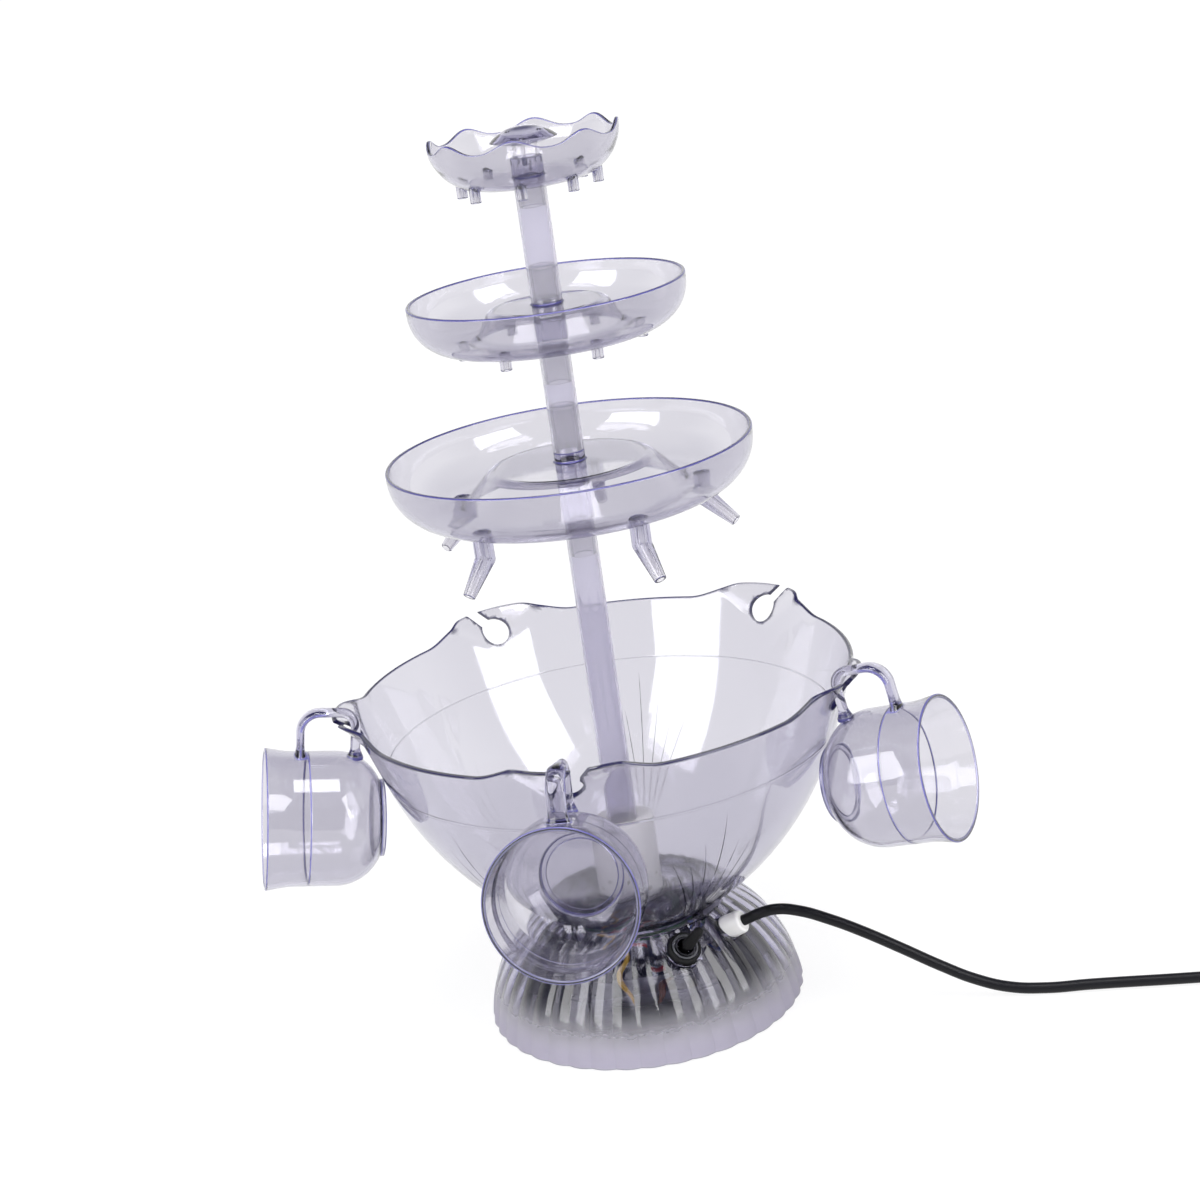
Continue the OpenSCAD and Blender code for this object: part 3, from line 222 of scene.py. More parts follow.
bush_axis = Vector((math.cos(BUSH_RISE) * math.sin(BUSH_TURN),
                    -math.cos(BUSH_RISE) * math.cos(BUSH_TURN), math.sin(BUSH_RISE)))
bush_seat = bearing(BUSH_AZ, arc_r(DOME_C, DOME_R, FITTINGS_Z), FITTINGS_Z) + 4 * MM * bush_axis
route = [bush_seat + s * MM * bush_axis for s in (-10, 0, 7, 14)]
route += [Vector(p) * MM for p in (
    (82, -30, 61.2), (94, -29, 58.8), (110, -29, 52.5), (126, -29, 44.5), (146, -29, 33), (167, -29, 20.5),
    (184, -29, 11.6), (202, -29, 5.6), (222, -29, 3.7), (244, -29, CORD_Z), (288, -28.6, CORD_Z),
    (330, -28, CORD_Z), (368, -28, CORD_Z))]
# The coil winds inwards for half its turns, climbs by one cord's thickness and winds out again on top.
for step in range(int(COIL_TURNS * COIL_STEPS) + 1):
    turn = step / COIL_STEPS
    r = COIL_R - CORD_PITCH * (COIL_TURNS / 2 - abs(turn - COIL_TURNS / 2))
    climb = eased((turn - (COIL_TURNS / 2 - 0.25)) / 0.5)
    route.append(Vector((COIL_AT[0] + r * math.sin(2 * math.pi * turn), COIL_AT[1] - r * math.cos(2 * math.pi * turn),
                         CORD_Z + CORD_PITCH * climb)) * MM)
route.append(route[-1] + Vector((0, 6.3, 0)) * MM)
print("cord route:", len(route), "points")

# %% Cord material
def plain_moulded(name, colour, rough, grain_mm=0.8, relief_mm=0.02, drift="#000000", coat=0.0, shine=0.5):
    """Opaque moulded plastic or rubber: a slow drift of shade, a fine grain, and gloss that varies with it."""
    material, tree, place = blank(name)
    grain = noise(tree, place, grain_mm, 3.0)
    shade = blend(tree, remap(tree, noise(tree, place, 18, 2.0), 0.3, 0.8, 0.0, 0.22), colour, drift)
    gloss = remap(tree, grain, 0.3, 0.7, rough - 0.05, rough + 0.08)
    skin = put(tree, "BsdfPrincipled", {
        "Base Color": shade, "Roughness": gloss, "Normal": relief(tree, grain, relief_mm, 0.6),
        "Coat Weight": coat, "IOR": 1.5, "Specular IOR Level": shine})
    put(tree, "OutputMaterial", {"Surface": skin.outputs["BSDF"]})
    return material


# Soft black PVC: low sheen, with the faint unevenness of an extruded jacket.
jacket = plain_moulded("black_pvc_jacket", "#121215", 0.38, grain_mm=1.5, relief_mm=0.03, drift="#1d1d22", shine=0.22)
print("material:", jacket.name)

# %% Cord piece
def lead(name, points, radius_mm, roundness, smoothness, material, slot, *nodes):
    """A round cord or wire through points, on the base."""
    line = bpy.data.curves.new(name, "CURVE")
    line.dimensions, line.use_fill_caps = "3D", True
    line.bevel_depth, line.bevel_resolution, line.resolution_u = radius_mm * MM, roundness, smoothness
    spline = line.splines.new("BEZIER")
    spline.bezier_points.add(len(points) - 1)
    for knot, point in zip(spline.bezier_points, points):
        knot.co = point
        knot.handle_left_type = knot.handle_right_type = "AUTO"
    line.materials.append(material)
    made = bpy.data.objects.new(name, line)
    bpy.context.scene.collection.objects.link(made)
    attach(made, "base")
    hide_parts(*nodes)
    print(name + ":", round(spline.calc_length(), 4), "m long")
    return made


cord = lead("mains_lead", route, 3, 6, 8, jacket, "cord_jacket", "power_cord", "cord_coil")

# %% [markdown]
# ## Modelling tools
# Most pieces of the fountain were shaped on a lathe's principle: a mould turned round one axis. So a piece
# starts as a profile of a few points, its corners are rounded with a vertex bevel, and spin turns it.
# Holes and bosses are joined or cut afterwards with an exact Boolean, as a toolmaker adds pins to a mould.

# %% Turned shapes
def arc(c, r, start, end, n):
    """Points on a circle in a profile, from one angle to another in degrees."""
    return [(c[0] + r * math.cos(math.radians(start + (end - start) * i / n)),
             c[1] + r * math.sin(math.radians(start + (end - start) * i / n))) for i in range(n + 1)]


def mended(bm, closer_mm=0.003):
    """Merges points that lie closer than this, and removes the faces without area that they leave."""
    bmesh.ops.remove_doubles(bm, verts=bm.verts, dist=closer_mm * MM)
    bmesh.ops.dissolve_degenerate(bm, dist=closer_mm * MM, edges=bm.edges)
    return bm


def turned(points, rounds=(), steps=180, closed=True):
    """Spins a profile of (radius, height) in millimetres. rounds pairs a point's number with its rounding."""
    bm = bmesh.new()
    verts = [bm.verts.new((r * MM, 0, z * MM)) for r, z in points]
    for pair in list(zip(verts, verts[1:])) + ([(verts[-1], verts[0])] if closed else []):
        bm.edges.new(pair)
    for index, radius in rounds:
        bmesh.ops.bevel(bm, geom=[verts[index]], offset=radius * MM, offset_type="OFFSET", affect="VERTICES",
                        segments=4, profile=0.5, material=-1)
    bmesh.ops.spin(bm, geom=bm.verts[:] + bm.edges[:], cent=(0, 0, 0), axis=(0, 0, 1), angle=2 * math.pi,
                   steps=steps, use_merge=True)
    mended(bm)
    bmesh.ops.recalc_face_normals(bm, faces=bm.faces)
    return bm

# %% Plain shapes and places
def between(low, high):
    """Moves a centred shape to the middle of two heights."""
    return Matrix.Translation((0, 0, (low + high) / 2 * MM))


def rod(r, low, high, tip=None, sides=48, soft=0.0):
    """A closed cylinder or cone along Z, in millimetres, with an optional rounding of its ends."""
    bm = bmesh.new()
    bmesh.ops.create_cone(bm, cap_ends=True, segments=sides, radius1=r * MM, radius2=(r if tip is None else tip) * MM,
                          depth=(high - low) * MM, matrix=between(low, high))
    if soft:
        caps = [e for f in bm.faces if len(f.verts) > 4 for e in f.edges]
        bmesh.ops.bevel(bm, geom=caps, offset=soft * MM, affect="EDGES", segments=3, profile=0.5, material=-1)
    return bm


def bar(x, y, low, high):
    """A closed box, centred on Z."""
    bm = bmesh.new()
    bmesh.ops.create_cube(bm, size=MM, matrix=between(low, high) @ Matrix.Diagonal((x, y, high - low, 1)))
    return bm


def moved(bm, matrix):
    bmesh.ops.transform(bm, matrix=matrix, verts=bm.verts)
    return bm


def outward(az, r=0.0, z=0.0):
    """Turns X to a bearing from the front hook, Y to greater bearings, and moves out and up."""
    return Matrix.Rotation(math.radians(az - 90), 4, "Z") @ Matrix.Translation((r * MM, 0, z * MM))


def around(count, first_az, r, *size, **kind):
    """Upright rods in a circle round the tower."""
    return [moved(rod(*size, **kind), outward(first_az + 360 / count * k, r)) for k in range(count)]


def aimed(point, axis):
    """Puts Z along an axis from a point."""
    return Matrix.Translation(point) @ axis.to_track_quat("Z", "Y").to_matrix().to_4x4()

# %% Joining
def together(*parts):
    """Several meshes as one, without joining their surfaces."""
    whole = bmesh.new()
    for part in parts:
        mesh = bpy.data.meshes.new("part")
        part.to_mesh(mesh)
        part.free()
        whole.from_mesh(mesh)
        bpy.data.meshes.remove(mesh)
    return whole


def combined(operation, bm, *tools):
    """Exact Boolean of a closed mesh with others: UNION or DIFFERENCE."""
    objects = []
    for part in (bm, together(*tools)):
        mesh = bpy.data.meshes.new("work")
        part.to_mesh(mesh)
        part.free()
        objects.append(bpy.data.objects.new("work", mesh))
        bpy.context.scene.collection.objects.link(objects[-1])
    joint = objects[0].modifiers.new("join", "BOOLEAN")
    joint.operation, joint.solver, joint.object = operation, "EXACT", objects[1]
    result = bpy.data.meshes.new_from_object(objects[0].evaluated_get(bpy.context.evaluated_depsgraph_get()))
    made = bmesh.new()
    made.from_mesh(result)
    for o in objects:
        bpy.data.meshes.remove(o.data)
    bpy.data.meshes.remove(result)
    return mended(made)

# %% Finished pieces
HUB_R = 8.3
LIP_EDGE = 5.0
LIP_BEND, LIP_BEND_SPAN = 14, 8
ABOVE_ALL = 999.0


def piece(name, bm, material, slot, *nodes, sharp=30, lip_from=0.0, lip_to=ABOVE_ALL, nested=()):
    """Makes the finished object, rides it on its solid's body and lets it stand for that solid.

    lip marks points on fine bent edges between two heights, hub points near the axis in the nested heights.
    """
    mesh = bpy.data.meshes.new(name)
    lips, hubs = bm.verts.layers.float.new("lip"), bm.verts.layers.float.new("hub")
    for v in bm.verts:
        z = v.co.z / MM
        if math.hypot(v.co.x, v.co.y) < HUB_R * MM:
            v[hubs] = float(any(low < z < high for low, high in nested))
        if lip_from < z < lip_to and max((e.calc_length() for e in v.link_edges), default=1) < LIP_EDGE * MM:
            turn = max(e.calc_face_angle(0.0) for e in v.link_edges)
            v[lips] = min(max((math.degrees(turn) - LIP_BEND) / LIP_BEND_SPAN, 0), 1)
    bm.to_mesh(mesh)
    bm.free()
    mesh.shade_smooth()
    mesh.set_sharp_from_angle(angle=math.radians(sharp))
    mesh.materials.append(material)
    made = bpy.data.objects.new(name, mesh)
    bpy.context.scene.collection.objects.link(made)
    even = made.modifiers.new("even_shading", "WEIGHTED_NORMAL")
    even.keep_sharp = True
    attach(made, body_of[nodes[0]])
    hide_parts(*nodes)
    print("piece:", name, len(mesh.polygons), "faces")
    return made

# %% [markdown]
# ## Base shell
# The base is a fluted dome, moulded clear and left satin near the table. A lathe can't flute, so the dome is
# spun with twelve steps to a flute, and each outer point then moves in by a row of half-round lobes.
# A boss for the switch and posts for the screws are joined on, and the holes are cut.

# %% Base shell material
SATIN_TOP, SATIN_FULL, SATIN_MOTTLE = 40, 7, 5


def satin_and_shade_foot(tree, place):
    """1 near the table, 0 above the satin band that was left matt in the mould; it also greys the tint there, partly
    as painted shade.
    """
    height = put(tree, "SeparateXYZ", {"Vector": place}).outputs["Z"]
    edge = calc(tree, "MULTIPLY_ADD", noise(tree, place, 9, 2.0), SATIN_MOTTLE * MM, height)
    return calc(tree, "POWER", remap(tree, edge, SATIN_TOP * MM, SATIN_FULL * MM, smooth=True), 1.4)


# Its satin band is tinted greyer, darker towards the table, partly as painted shade.
clear_base = clear_polystyrene("clear_polystyrene_satin_foot", frost=satin_and_shade_foot, edge="#5a5678")
print("material:", clear_base.name)

# %% Base shell dome
FLUTES, FLUTE_DEPTH = 40, 1.1
LINING_R = 77.7
FOOT_RISE, TOP_RISE, LINING_RISE = 8.5, 67.3, 64.8
FOOT_LINE = 0.7


def lift(rise, r):
    """Angle on an arc at a height over its centre, in degrees."""
    return math.degrees(math.asin(rise / r))


skirt = arc(DOME_C, DOME_R, lift(FOOT_RISE, DOME_R), lift(TOP_RISE, DOME_R), 26)
skirt.insert(1, arc(DOME_C, DOME_R, 0, lift(FOOT_RISE, DOME_R) + FOOT_LINE, 1)[1])
lining = arc(DOME_C, LINING_R, lift(LINING_RISE, LINING_R), lift(FOOT_RISE, LINING_R), 16)
n = len(skirt)
shell = turned(skirt + [(40, 60), (40, 57.5)] + lining, rounds=[(n, 0.6), (n + 1, 0.4)], steps=12 * FLUTES)
for v in shell.verts:
    flat = math.hypot(v.co.x, v.co.y)
    if abs(math.hypot(flat / MM - DOME_C[0], v.co.z / MM - DOME_C[1]) - DOME_R) < 0.01:
        lobe = abs(math.cos(math.atan2(v.co.y, v.co.x) * FLUTES / 2))
        inward = (flat - FLUTE_DEPTH * MM * (1 - lobe)) / flat
        v.co.x, v.co.y = v.co.x * inward, v.co.y * inward
print("dome:", len(shell.faces), "faces")

# %% Base shell fittings
SWITCH_AZ, SWITCH_RISE, SWITCH_OUT = 31, math.radians(47), 1.41
SCREW_AZ, SCREW_R = 54, 48
switch_axis = (bearing(SWITCH_AZ, 1, 0).normalized() * math.cos(SWITCH_RISE)
               + Vector((0, 0, math.sin(SWITCH_RISE))))
switch_seat = bearing(SWITCH_AZ, arc_r(DOME_C, DOME_R, FITTINGS_Z), FITTINGS_Z)
switch_at = aimed(switch_seat + SWITCH_OUT * MM * switch_axis, switch_axis)
bush_at = aimed(bush_seat, bush_axis)
shell = combined("DIFFERENCE", shell, moved(rod(7.2, -14, 7), bush_at))
shell = combined("UNION", shell, moved(rod(10, -6, 0, soft=0.4), switch_at),
                 *around(4, SCREW_AZ, SCREW_R, 3.4, 4, 57.9, sides=24))
shell = combined("DIFFERENCE", shell, moved(rod(5.9, -8, 2), switch_at),
                 *around(4, SCREW_AZ, SCREW_R, 1.5, 3, 14, sides=16))
# lip_to keeps the edge colour to the foot's bottom edge, where it is a painted dark outline.
piece("fluted_base", shell, clear_base, "clear_plastic", "base_shell", sharp=24, lip_to=2.0)

# %% [markdown]
# ## Bowl
# The bowl is a deep turned cup whose rim rises in five ears, each with a keyhole for a cup's handle. It starts as
# one sheet, the outside of the wall. The rim's points move up and out at the ears, solidify gives the sheet
# its wall, and bevel rounds the lip. Fans of leaf lines are engraved round the foot, and the keyholes are cut last.

# %% Bowl outline
BOWL_C, BOWL_R, BOWL_FOOT = (-41.459, 211.555), 175, 60
FLARE = math.radians(19)
SHOULDER = (124.0, BOWL_C[1] - BOWL_R * math.sin(FLARE))
FILL_LINE, FILL_DEEP = 157, 0.08
EARS_FROM, RIM, RIM_DIP = 158, 197, 7
EAR_C, EAR_R, EAR_AXIS = (197.016, 142.007), 74.0, 103.0
EAR_FILLET = 1.6
HOOK_STEP = 72


def plain_wall(z):
    """Outer radius of the straight flare."""
    return SHOULDER[0] + (z - SHOULDER[1]) * math.tan(FLARE)


def off_hook(x, y):
    """Angle from the nearest hook, in degrees."""
    az = math.degrees(math.atan2(x, -y)) % HOOK_STEP
    return min(az, HOOK_STEP - az)


def rim_height(angle):
    """The rim is high at a hook and dips between two."""
    return RIM - RIM_DIP * eased((angle - 7.5) / 13.5)


def wall_with_ears(angle, z):
    """Outer radius of the bowl: the plain flare, swelling smoothly into an ear near a hook."""
    plain = plain_wall(z)
    own = EAR_C[0] - math.sqrt(EAR_R ** 2 - min(z - EAR_C[1], EAR_R) ** 2) - EAR_AXIS
    side = EAR_AXIS * math.sin(math.radians(angle))
    if z < EARS_FROM or own ** 2 <= side ** 2:
        return plain
    ear = EAR_AXIS * math.cos(math.radians(angle)) + math.sqrt(own ** 2 - side ** 2)
    near = max(EAR_FILLET - abs(ear - plain), 0) / EAR_FILLET
    return max(ear, plain) + EAR_FILLET / 4 * near * near

# %% Bowl sheet
meridian = [(r, BOWL_FOOT) for r in (5.85, 14, 23, 32, 40)]
meridian += arc(BOWL_C, BOWL_R, -60.0, -19, 44)
meridian += [(plain_wall(FILL_LINE + dz) - FILL_DEEP * share, FILL_LINE + dz)
             for dz, share in ((-0.5, 0), (-0.25, 0.5), (0, 1), (0.25, 0.5), (0.5, 0))]
meridian += [(plain_wall(z), z) for z in [160 + 1.85 * i for i in range(21)]]
bowl = turned(meridian, steps=360, closed=False)
for v in bowl.verts:
    z, flat = v.co.z / MM, math.hypot(v.co.x, v.co.y)
    if z > EARS_FROM + 0.5:
        angle = off_hook(v.co.x, v.co.y)
        share = (z - EARS_FROM) / (RIM - EARS_FROM)
        z = EARS_FROM + share * (rim_height(angle) - EARS_FROM)
        out = wall_with_ears(angle, z) * MM / flat
        v.co = (v.co.x * out, v.co.y * out, z * MM)
if sum(f.normal.dot(f.calc_center_median() - Vector((0, 0, 0.2))) for f in bowl.faces) < 0:
    bmesh.ops.reverse_faces(bowl, faces=bowl.faces)
print("bowl sheet:", len(bowl.faces), "faces")

# %% Bowl wall and lip
BOWL_WALL, FLOOR_TOP, POST_R = 2.6, 63, 27
bmesh.ops.solidify(bowl, geom=bowl.faces[:], thickness=BOWL_WALL * MM)
lip = [e for e in bowl.edges
       if e.is_manifold and e.calc_face_angle() > math.radians(55) and e.verts[0].co.z > 0.17]
bmesh.ops.bevel(bowl, geom=lip, offset=1.2 * MM, affect="EDGES", segments=3, profile=0.5, material=-1)
# The floor is a little thicker than the wall.
for v in bowl.verts:
    if math.hypot(v.co.x, v.co.y) < 44 * MM and abs(v.co.z - (BOWL_FOOT + BOWL_WALL) * MM) < 0.3 * MM:
        v.co.z = FLOOR_TOP * MM
bowl = combined("UNION", bowl,
                turned([(37.5, 54), (39.7, 54), (39.7, 60.4), (37.5, 60.4)], rounds=[(0, 0.3), (1, 0.3)]),
                turned([(17.3, 62.6), (19.5, 62.6), (19.5, 66), (17.3, 66)], rounds=[(2, 0.5), (3, 0.5)]),
                *around(3, 0, POST_R, 3.2, 50.6, 60.4, sides=24))
print("bowl with its wall:", len(bowl.faces), "faces")

# %% Leaf lines
CUT_WIDE, CUT_DEEP, CUT_PROUD = 0.6, 0.3, 0.06
CUT_FOOT, CUT_ROWS, CUT_TIP = 72.0, 16, 5
FAN_FOOT, FAN_LEAN = 52, 0.066


def leaf_cut(az, lean, top):
    """A wedge along the outside of the bowl, up to a height. lean is its slant in degrees per millimetre."""
    bm = bmesh.new()
    rows = []
    for step in range(CUT_ROWS + 1):
        z = CUT_FOOT + (top - CUT_FOOT) * step / CUT_ROWS
        r = arc_r(BOWL_C, BOWL_R, z)
        taper = min(1, (CUT_ROWS - step) / CUT_TIP + 0.1)
        half = math.degrees(CUT_WIDE / 2 / r) * (1 + CUT_PROUD / CUT_DEEP) * taper
        rows.append([bm.verts.new(bearing(az + lean * (z - FAN_FOOT) + turn, r + out, z)) for turn, out in (
            (-half, CUT_PROUD), (half, CUT_PROUD), (0, -CUT_DEEP * taper))])
    for low, high in zip(rows, rows[1:]):
        for i in range(3):
            bm.faces.new((low[i], low[i - 1], high[i - 1], high[i]))
    bm.faces.new(rows[0])
    bm.faces.new(rows[-1])
    bmesh.ops.recalc_face_normals(bm, faces=bm.faces)
    return bm


# Each fan has seven lines, and a line's own top makes the fan uneven, as leaves are.
bowl = combined("DIFFERENCE", bowl, *[
    leaf_cut(HOOK_STEP / 2 + HOOK_STEP * fan, FAN_LEAN * way, top) for fan in range(5)
    for way, top in ((-3, 126), (-2, 121), (-1, 134), (0, 149), (1, 129), (2, 125), (3, 118))])
print("bowl with leaf lines:", len(bowl.faces), "faces")

# %% Bowl keyholes
HOLE_Z, HOLE_R, HOLE_REACH = 186, 8.5, 8.5
SLOT_LONG, SLOT_WIDE, SLOT_TURN = 25.5, 8, math.radians(33)
MID_WALL = EAR_R + BOWL_WALL / 2
tilt = math.asin((HOLE_Z - EAR_C[1]) / MID_WALL)
keyhole_at = EAR_C[0] - MID_WALL * math.cos(tilt)
holes, slots = [], []
for az, way in ((0, 1), (-72, 1), (72, -1), (-144, 1), (144, -1)):
    seat = outward(az, keyhole_at, HOLE_Z) @ Matrix.Rotation(math.pi / 2 + tilt, 4, "Y")
    aside = Matrix.Rotation(-way * SLOT_TURN, 4, "Z") @ Matrix.Translation((-SLOT_LONG / 2 * MM, 0, 0))
    holes.append(moved(rod(HOLE_R, -HOLE_REACH, HOLE_REACH, sides=64), seat))
    slots.append(moved(bar(SLOT_LONG, SLOT_WIDE, -HOLE_REACH, HOLE_REACH), seat @ aside))
bowl = combined("DIFFERENCE", bowl, *holes)
bowl = combined("DIFFERENCE", bowl, *slots, *around(3, 0, POST_R, 1.45, 50, 59, sides=16))
# Its lips, and the shallow groove of the fill line above lip_from, take a dark navy edge colour: partly dye, partly a
# painted dark outline.
clear_bowl = clear_polystyrene("clear_polystyrene_bowl", edge="#2c2a5c")
piece("hooked_bowl", bowl, clear_bowl, "clear_plastic", "bowl", sharp=32, lip_from=150)

# %% [markdown]
# ## Tubes
# Three lengths of extruded tube carry the drink up. Each is a ring profile with softened ends, turned round
# the axis. Rows of points stand where a spigot ends inside it, so the paler plastic there has a clean border.

# %% Tubes
TUBE_OUT, TUBE_IN = 8.25, 7
TOWER_TOP = 500
clear_tube = clear_polystyrene("hazy_polystyrene_tube", cast="#efedf6", haze=0.3)
for name, low, high, below, above in (("lower_tube", 97, 278, 1, 16), ("middle_tube", 319, 372, 25, 16),
                                      ("upper_tube", 399, 460, 19, 12)):
    heights = [low + below - 0.2, low + below + 0.2, high - above - 0.2, high - above + 0.2]
    outline = [(TUBE_OUT, z) for z in [low, *heights, high]] + [(TUBE_IN, z) for z in [high, *heights[::-1], low]]
    tube = turned(outline, rounds=[(i, 0.3) for i in (0, 5, 6, 11)], steps=96)
    piece("clear_" + name, tube, clear_tube, "clear_plastic", name,
          nested=[(0, low + below), (high - above, TOWER_TOP)])

# %% [markdown]
# ## Dishes of the tower
# Each dish is one moulding: a hub that plugs into the tubes, a raised middle, and a rounded side. The whole
# section can be drawn as one closed outline, so one spin makes it. Pins in the mould leave the outlets:
# holes for five loose spouts in the large dish, and short nozzles in the middle one.

# %% Dish outline
SPIGOT_OUT, SPIGOT_IN, SPIGOT_LOW = 6.75, 5.25, 16
DISH_WALL = 2.2


def dish(z0, r, depth, corner, top_r, top_h, run, hub_h, hub_low, spigot, steps):
    """Closed outline of a dish with its hub, turned. Heights are over the dish's underside z0."""
    wall, rise = DISH_WALL, top_h - DISH_WALL
    back = wall * (math.hypot(rise, run) - run) / rise
    low, high = -hub_low, hub_h - hub_low
    under = [(SPIGOT_IN, low - SPIGOT_LOW), (SPIGOT_OUT, low - SPIGOT_LOW), (SPIGOT_OUT, low), (TUBE_OUT, low),
             (TUBE_OUT, rise), (top_r - back, rise), (top_r + run - back, 0)]
    outer = arc((r - corner, corner), corner, -90, 0, 20) + [(r, depth)]
    inner = [(r - wall, depth)] + arc((r - corner, corner), corner - wall, 0, -90, 20)
    over = [(top_r + run, wall), (top_r, top_h), (TUBE_OUT, top_h), (TUBE_OUT, high), (SPIGOT_OUT, high),
            (SPIGOT_OUT, high + spigot), (SPIGOT_IN, high + spigot)]
    outline = under + outer + inner + over
    n, m = len(under) + len(outer), len(under) + len(outer) + len(inner)
    rounds = [(n - 1, 0.95), (n, 0.95), (5, 3), (6, 4), (m, 4), (m + 1, 3), (4, 1), (m + 2, 1),
              (1, 0.3), (2, 0.3), (3, 0.4), (m + 3, 0.4), (m + 5, 0.3)]
    return turned([(x, z + z0) for x, z in outline], rounds=rounds, steps=steps)

# %% Dishes
SPOUT_AZ, SPOUT_R = 36, 69
NOZZLES_AZ, NOZZLES_R = -22, 46.5
large = dish(292, 97, 30, 26, 43, 22, 19, 41, 14, 25, 240)
large = combined("DIFFERENCE", large, *around(5, SPOUT_AZ, SPOUT_R, 3.6, 290, 296, sides=32))
piece("large_dish", large, clear, "clear_plastic", "large_tier", nested=[(0, TOWER_TOP)])

middle = dish(380, 72.6, 26, 22, 31, 18, 9, 27, 8, 19, 200)
middle = combined("UNION", middle, *around(6, NOZZLES_AZ, NOZZLES_R, 3, 374, 381, sides=32, soft=0.3))
middle = combined("DIFFERENCE", middle, *around(6, NOZZLES_AZ, NOZZLES_R, 1.6, 373, 384, sides=24))
piece("middle_dish", middle, clear, "clear_plastic", "middle_tier", nested=[(0, TOWER_TOP)])

# %% [markdown]
# ## Spouts
# Five loose spouts hang in the large dish and can be swung. Each is a collar, an elbow and a tapered nozzle with a
# bore through both legs. A ball a hair wider than the legs rounds the elbow, and the bores are cut through both.

# %% Spouts
LEG_R, ELBOW_R, BORE_R = 5.2, 5.24, 2.1
ELBOW_Z, NOZZLE_LONG, NOZZLE_R = 281, 22, 3.2
NOZZLE_TURN = math.radians(90 + 47)
for k in range(5):
    elbow = Matrix.Translation((0, 0, ELBOW_Z * MM))
    slant = elbow @ Matrix.Rotation(NOZZLE_TURN, 4, "Y")
    ball = bmesh.new()
    bmesh.ops.create_uvsphere(ball, u_segments=48, v_segments=24, radius=ELBOW_R * MM, matrix=elbow)
    leg = turned([(0, ELBOW_Z), (LEG_R, ELBOW_Z), (LEG_R, 292), (3.35, 292), (3.35, 294.2), (0, 294.2)],
                 rounds=[(2, 0.4), (4, 0.3)], steps=48, closed=False)
    spout = combined("UNION", leg, ball)
    spout = combined("UNION", spout, moved(rod(LEG_R, 0, NOZZLE_LONG, tip=NOZZLE_R, soft=0.35), slant))
    spout = combined("DIFFERENCE", spout, rod(BORE_R, ELBOW_Z, 296, sides=32))
    spout = combined("DIFFERENCE", spout, moved(rod(BORE_R, -1, NOZZLE_LONG + 2, sides=32), slant))
    moved(spout, outward(SPOUT_AZ + HOOK_STEP * k, SPOUT_R))
    piece(f"swing_spout_{k + 1}", spout, clear, "clear_plastic", f"spout_{k + 1}")

# %% [markdown]
# ## Crown
# The top dish has a wavy rim, so the drink falls in eight streams. It is turned with a level rim, and the
# rows near the rim are then raised and lowered round the circle. Eight nozzles are joined below.

# %% Crown
CROWN_Z, CROWN_RIM, CROWN_LOW_RIM = 460, 27, 22
WAVE_FROM, WAVES, WAVE_AZ = 12, 8, 3
PIN_R = 6.75


def crown_rim(x, y):
    """Height of the rim over the crown's underside: soft peaks with wider hollows between them."""
    az = math.degrees(math.atan2(x, -y))
    wave = 0.5 + 0.5 * math.cos(math.radians(WAVES * (az - WAVE_AZ)))
    return CROWN_LOW_RIM + (CROWN_RIM - CROWN_LOW_RIM) * wave ** 1.3


outer = arc((24, 25), 25, -90, 0, 24) + [(49, 26), (49, CROWN_RIM)]
inner = [(47, CROWN_RIM), (47, 26)] + arc((24, 25), 23, 0, -90, 24)
hub = [(TUBE_OUT, 2), (TUBE_OUT, 13), (SPIGOT_IN, 13), (SPIGOT_IN, -12), (SPIGOT_OUT, -12), (SPIGOT_OUT, 0)]
n, m = len(outer), len(outer) + len(inner)
crown = turned([(x, z + CROWN_Z) for x, z in outer + inner + hub],
               rounds=[(n - 1, 0.85), (n, 0.85), (m, 1), (m + 1, 0.4), (m + 4, 0.3)], steps=240)
for v in crown.verts:
    z = v.co.z / MM - CROWN_Z
    if z > WAVE_FROM and math.hypot(v.co.x, v.co.y) > 30 * MM:
        share = ((z - WAVE_FROM) / (CROWN_RIM - WAVE_FROM)) ** 1.4
        v.co.z += share * (crown_rim(v.co.x, v.co.y) - CROWN_RIM) * MM
crown = combined("UNION", crown, *around(WAVES, WAVE_AZ, 35, 2.8, 456.25, 464.2, sides=32, soft=0.3))
crown = combined("DIFFERENCE", crown, bar(16.5, 2, 447, 459.6),
                 *around(WAVES, WAVE_AZ, 35, 1.6, 455, 472, sides=24),
                 *around(3, WAVE_AZ, PIN_R, 1.25, 469, 474, sides=16))
piece("wavy_crown", crown, clear, "clear_plastic", "crown", nested=[(0, TOWER_TOP)])

# %% [markdown]
# ## Crown cap
# A lens on three pins closes the tower and turns the stream into the crown. Two arcs make the lens.

# %% Crown cap
CAP_Z, CAP_R, CAP_EDGE = 482, 17.5, 17.4


def bulge(r, rise, n):
    """Points from the axis to radius r on an arc of that rise."""
    radius = (r * r + rise * rise) / (2 * rise)
    return [(r * i / n, math.sqrt(radius ** 2 - (r * i / n) ** 2) - radius + rise) for i in range(n + 1)]


lens = [(x, CAP_Z - z) for x, z in bulge(CAP_R, 3, 12)][:-1]
lens += [(CAP_EDGE, 481.9), (CAP_EDGE, 482.15)]
lens += [(x, CAP_Z + z) for x, z in reversed(bulge(CAP_R, 7, 16)[:-1])]
cap = turned(lens, rounds=[(12, 0.15), (13, 0.15)], steps=96, closed=False)
cap = combined("UNION", cap, *around(3, WAVE_AZ, PIN_R, 1, 469, CAP_Z, sides=24))
# The lens is thicker than any wall, so it has less dye for the same tone.
thick_clear = clear_polystyrene("clear_polystyrene_thick", dye_density=18.0)
piece("lens_cap", cap, thick_clear, "clear_plastic", "crown_cap", lip_from=ABOVE_ALL)

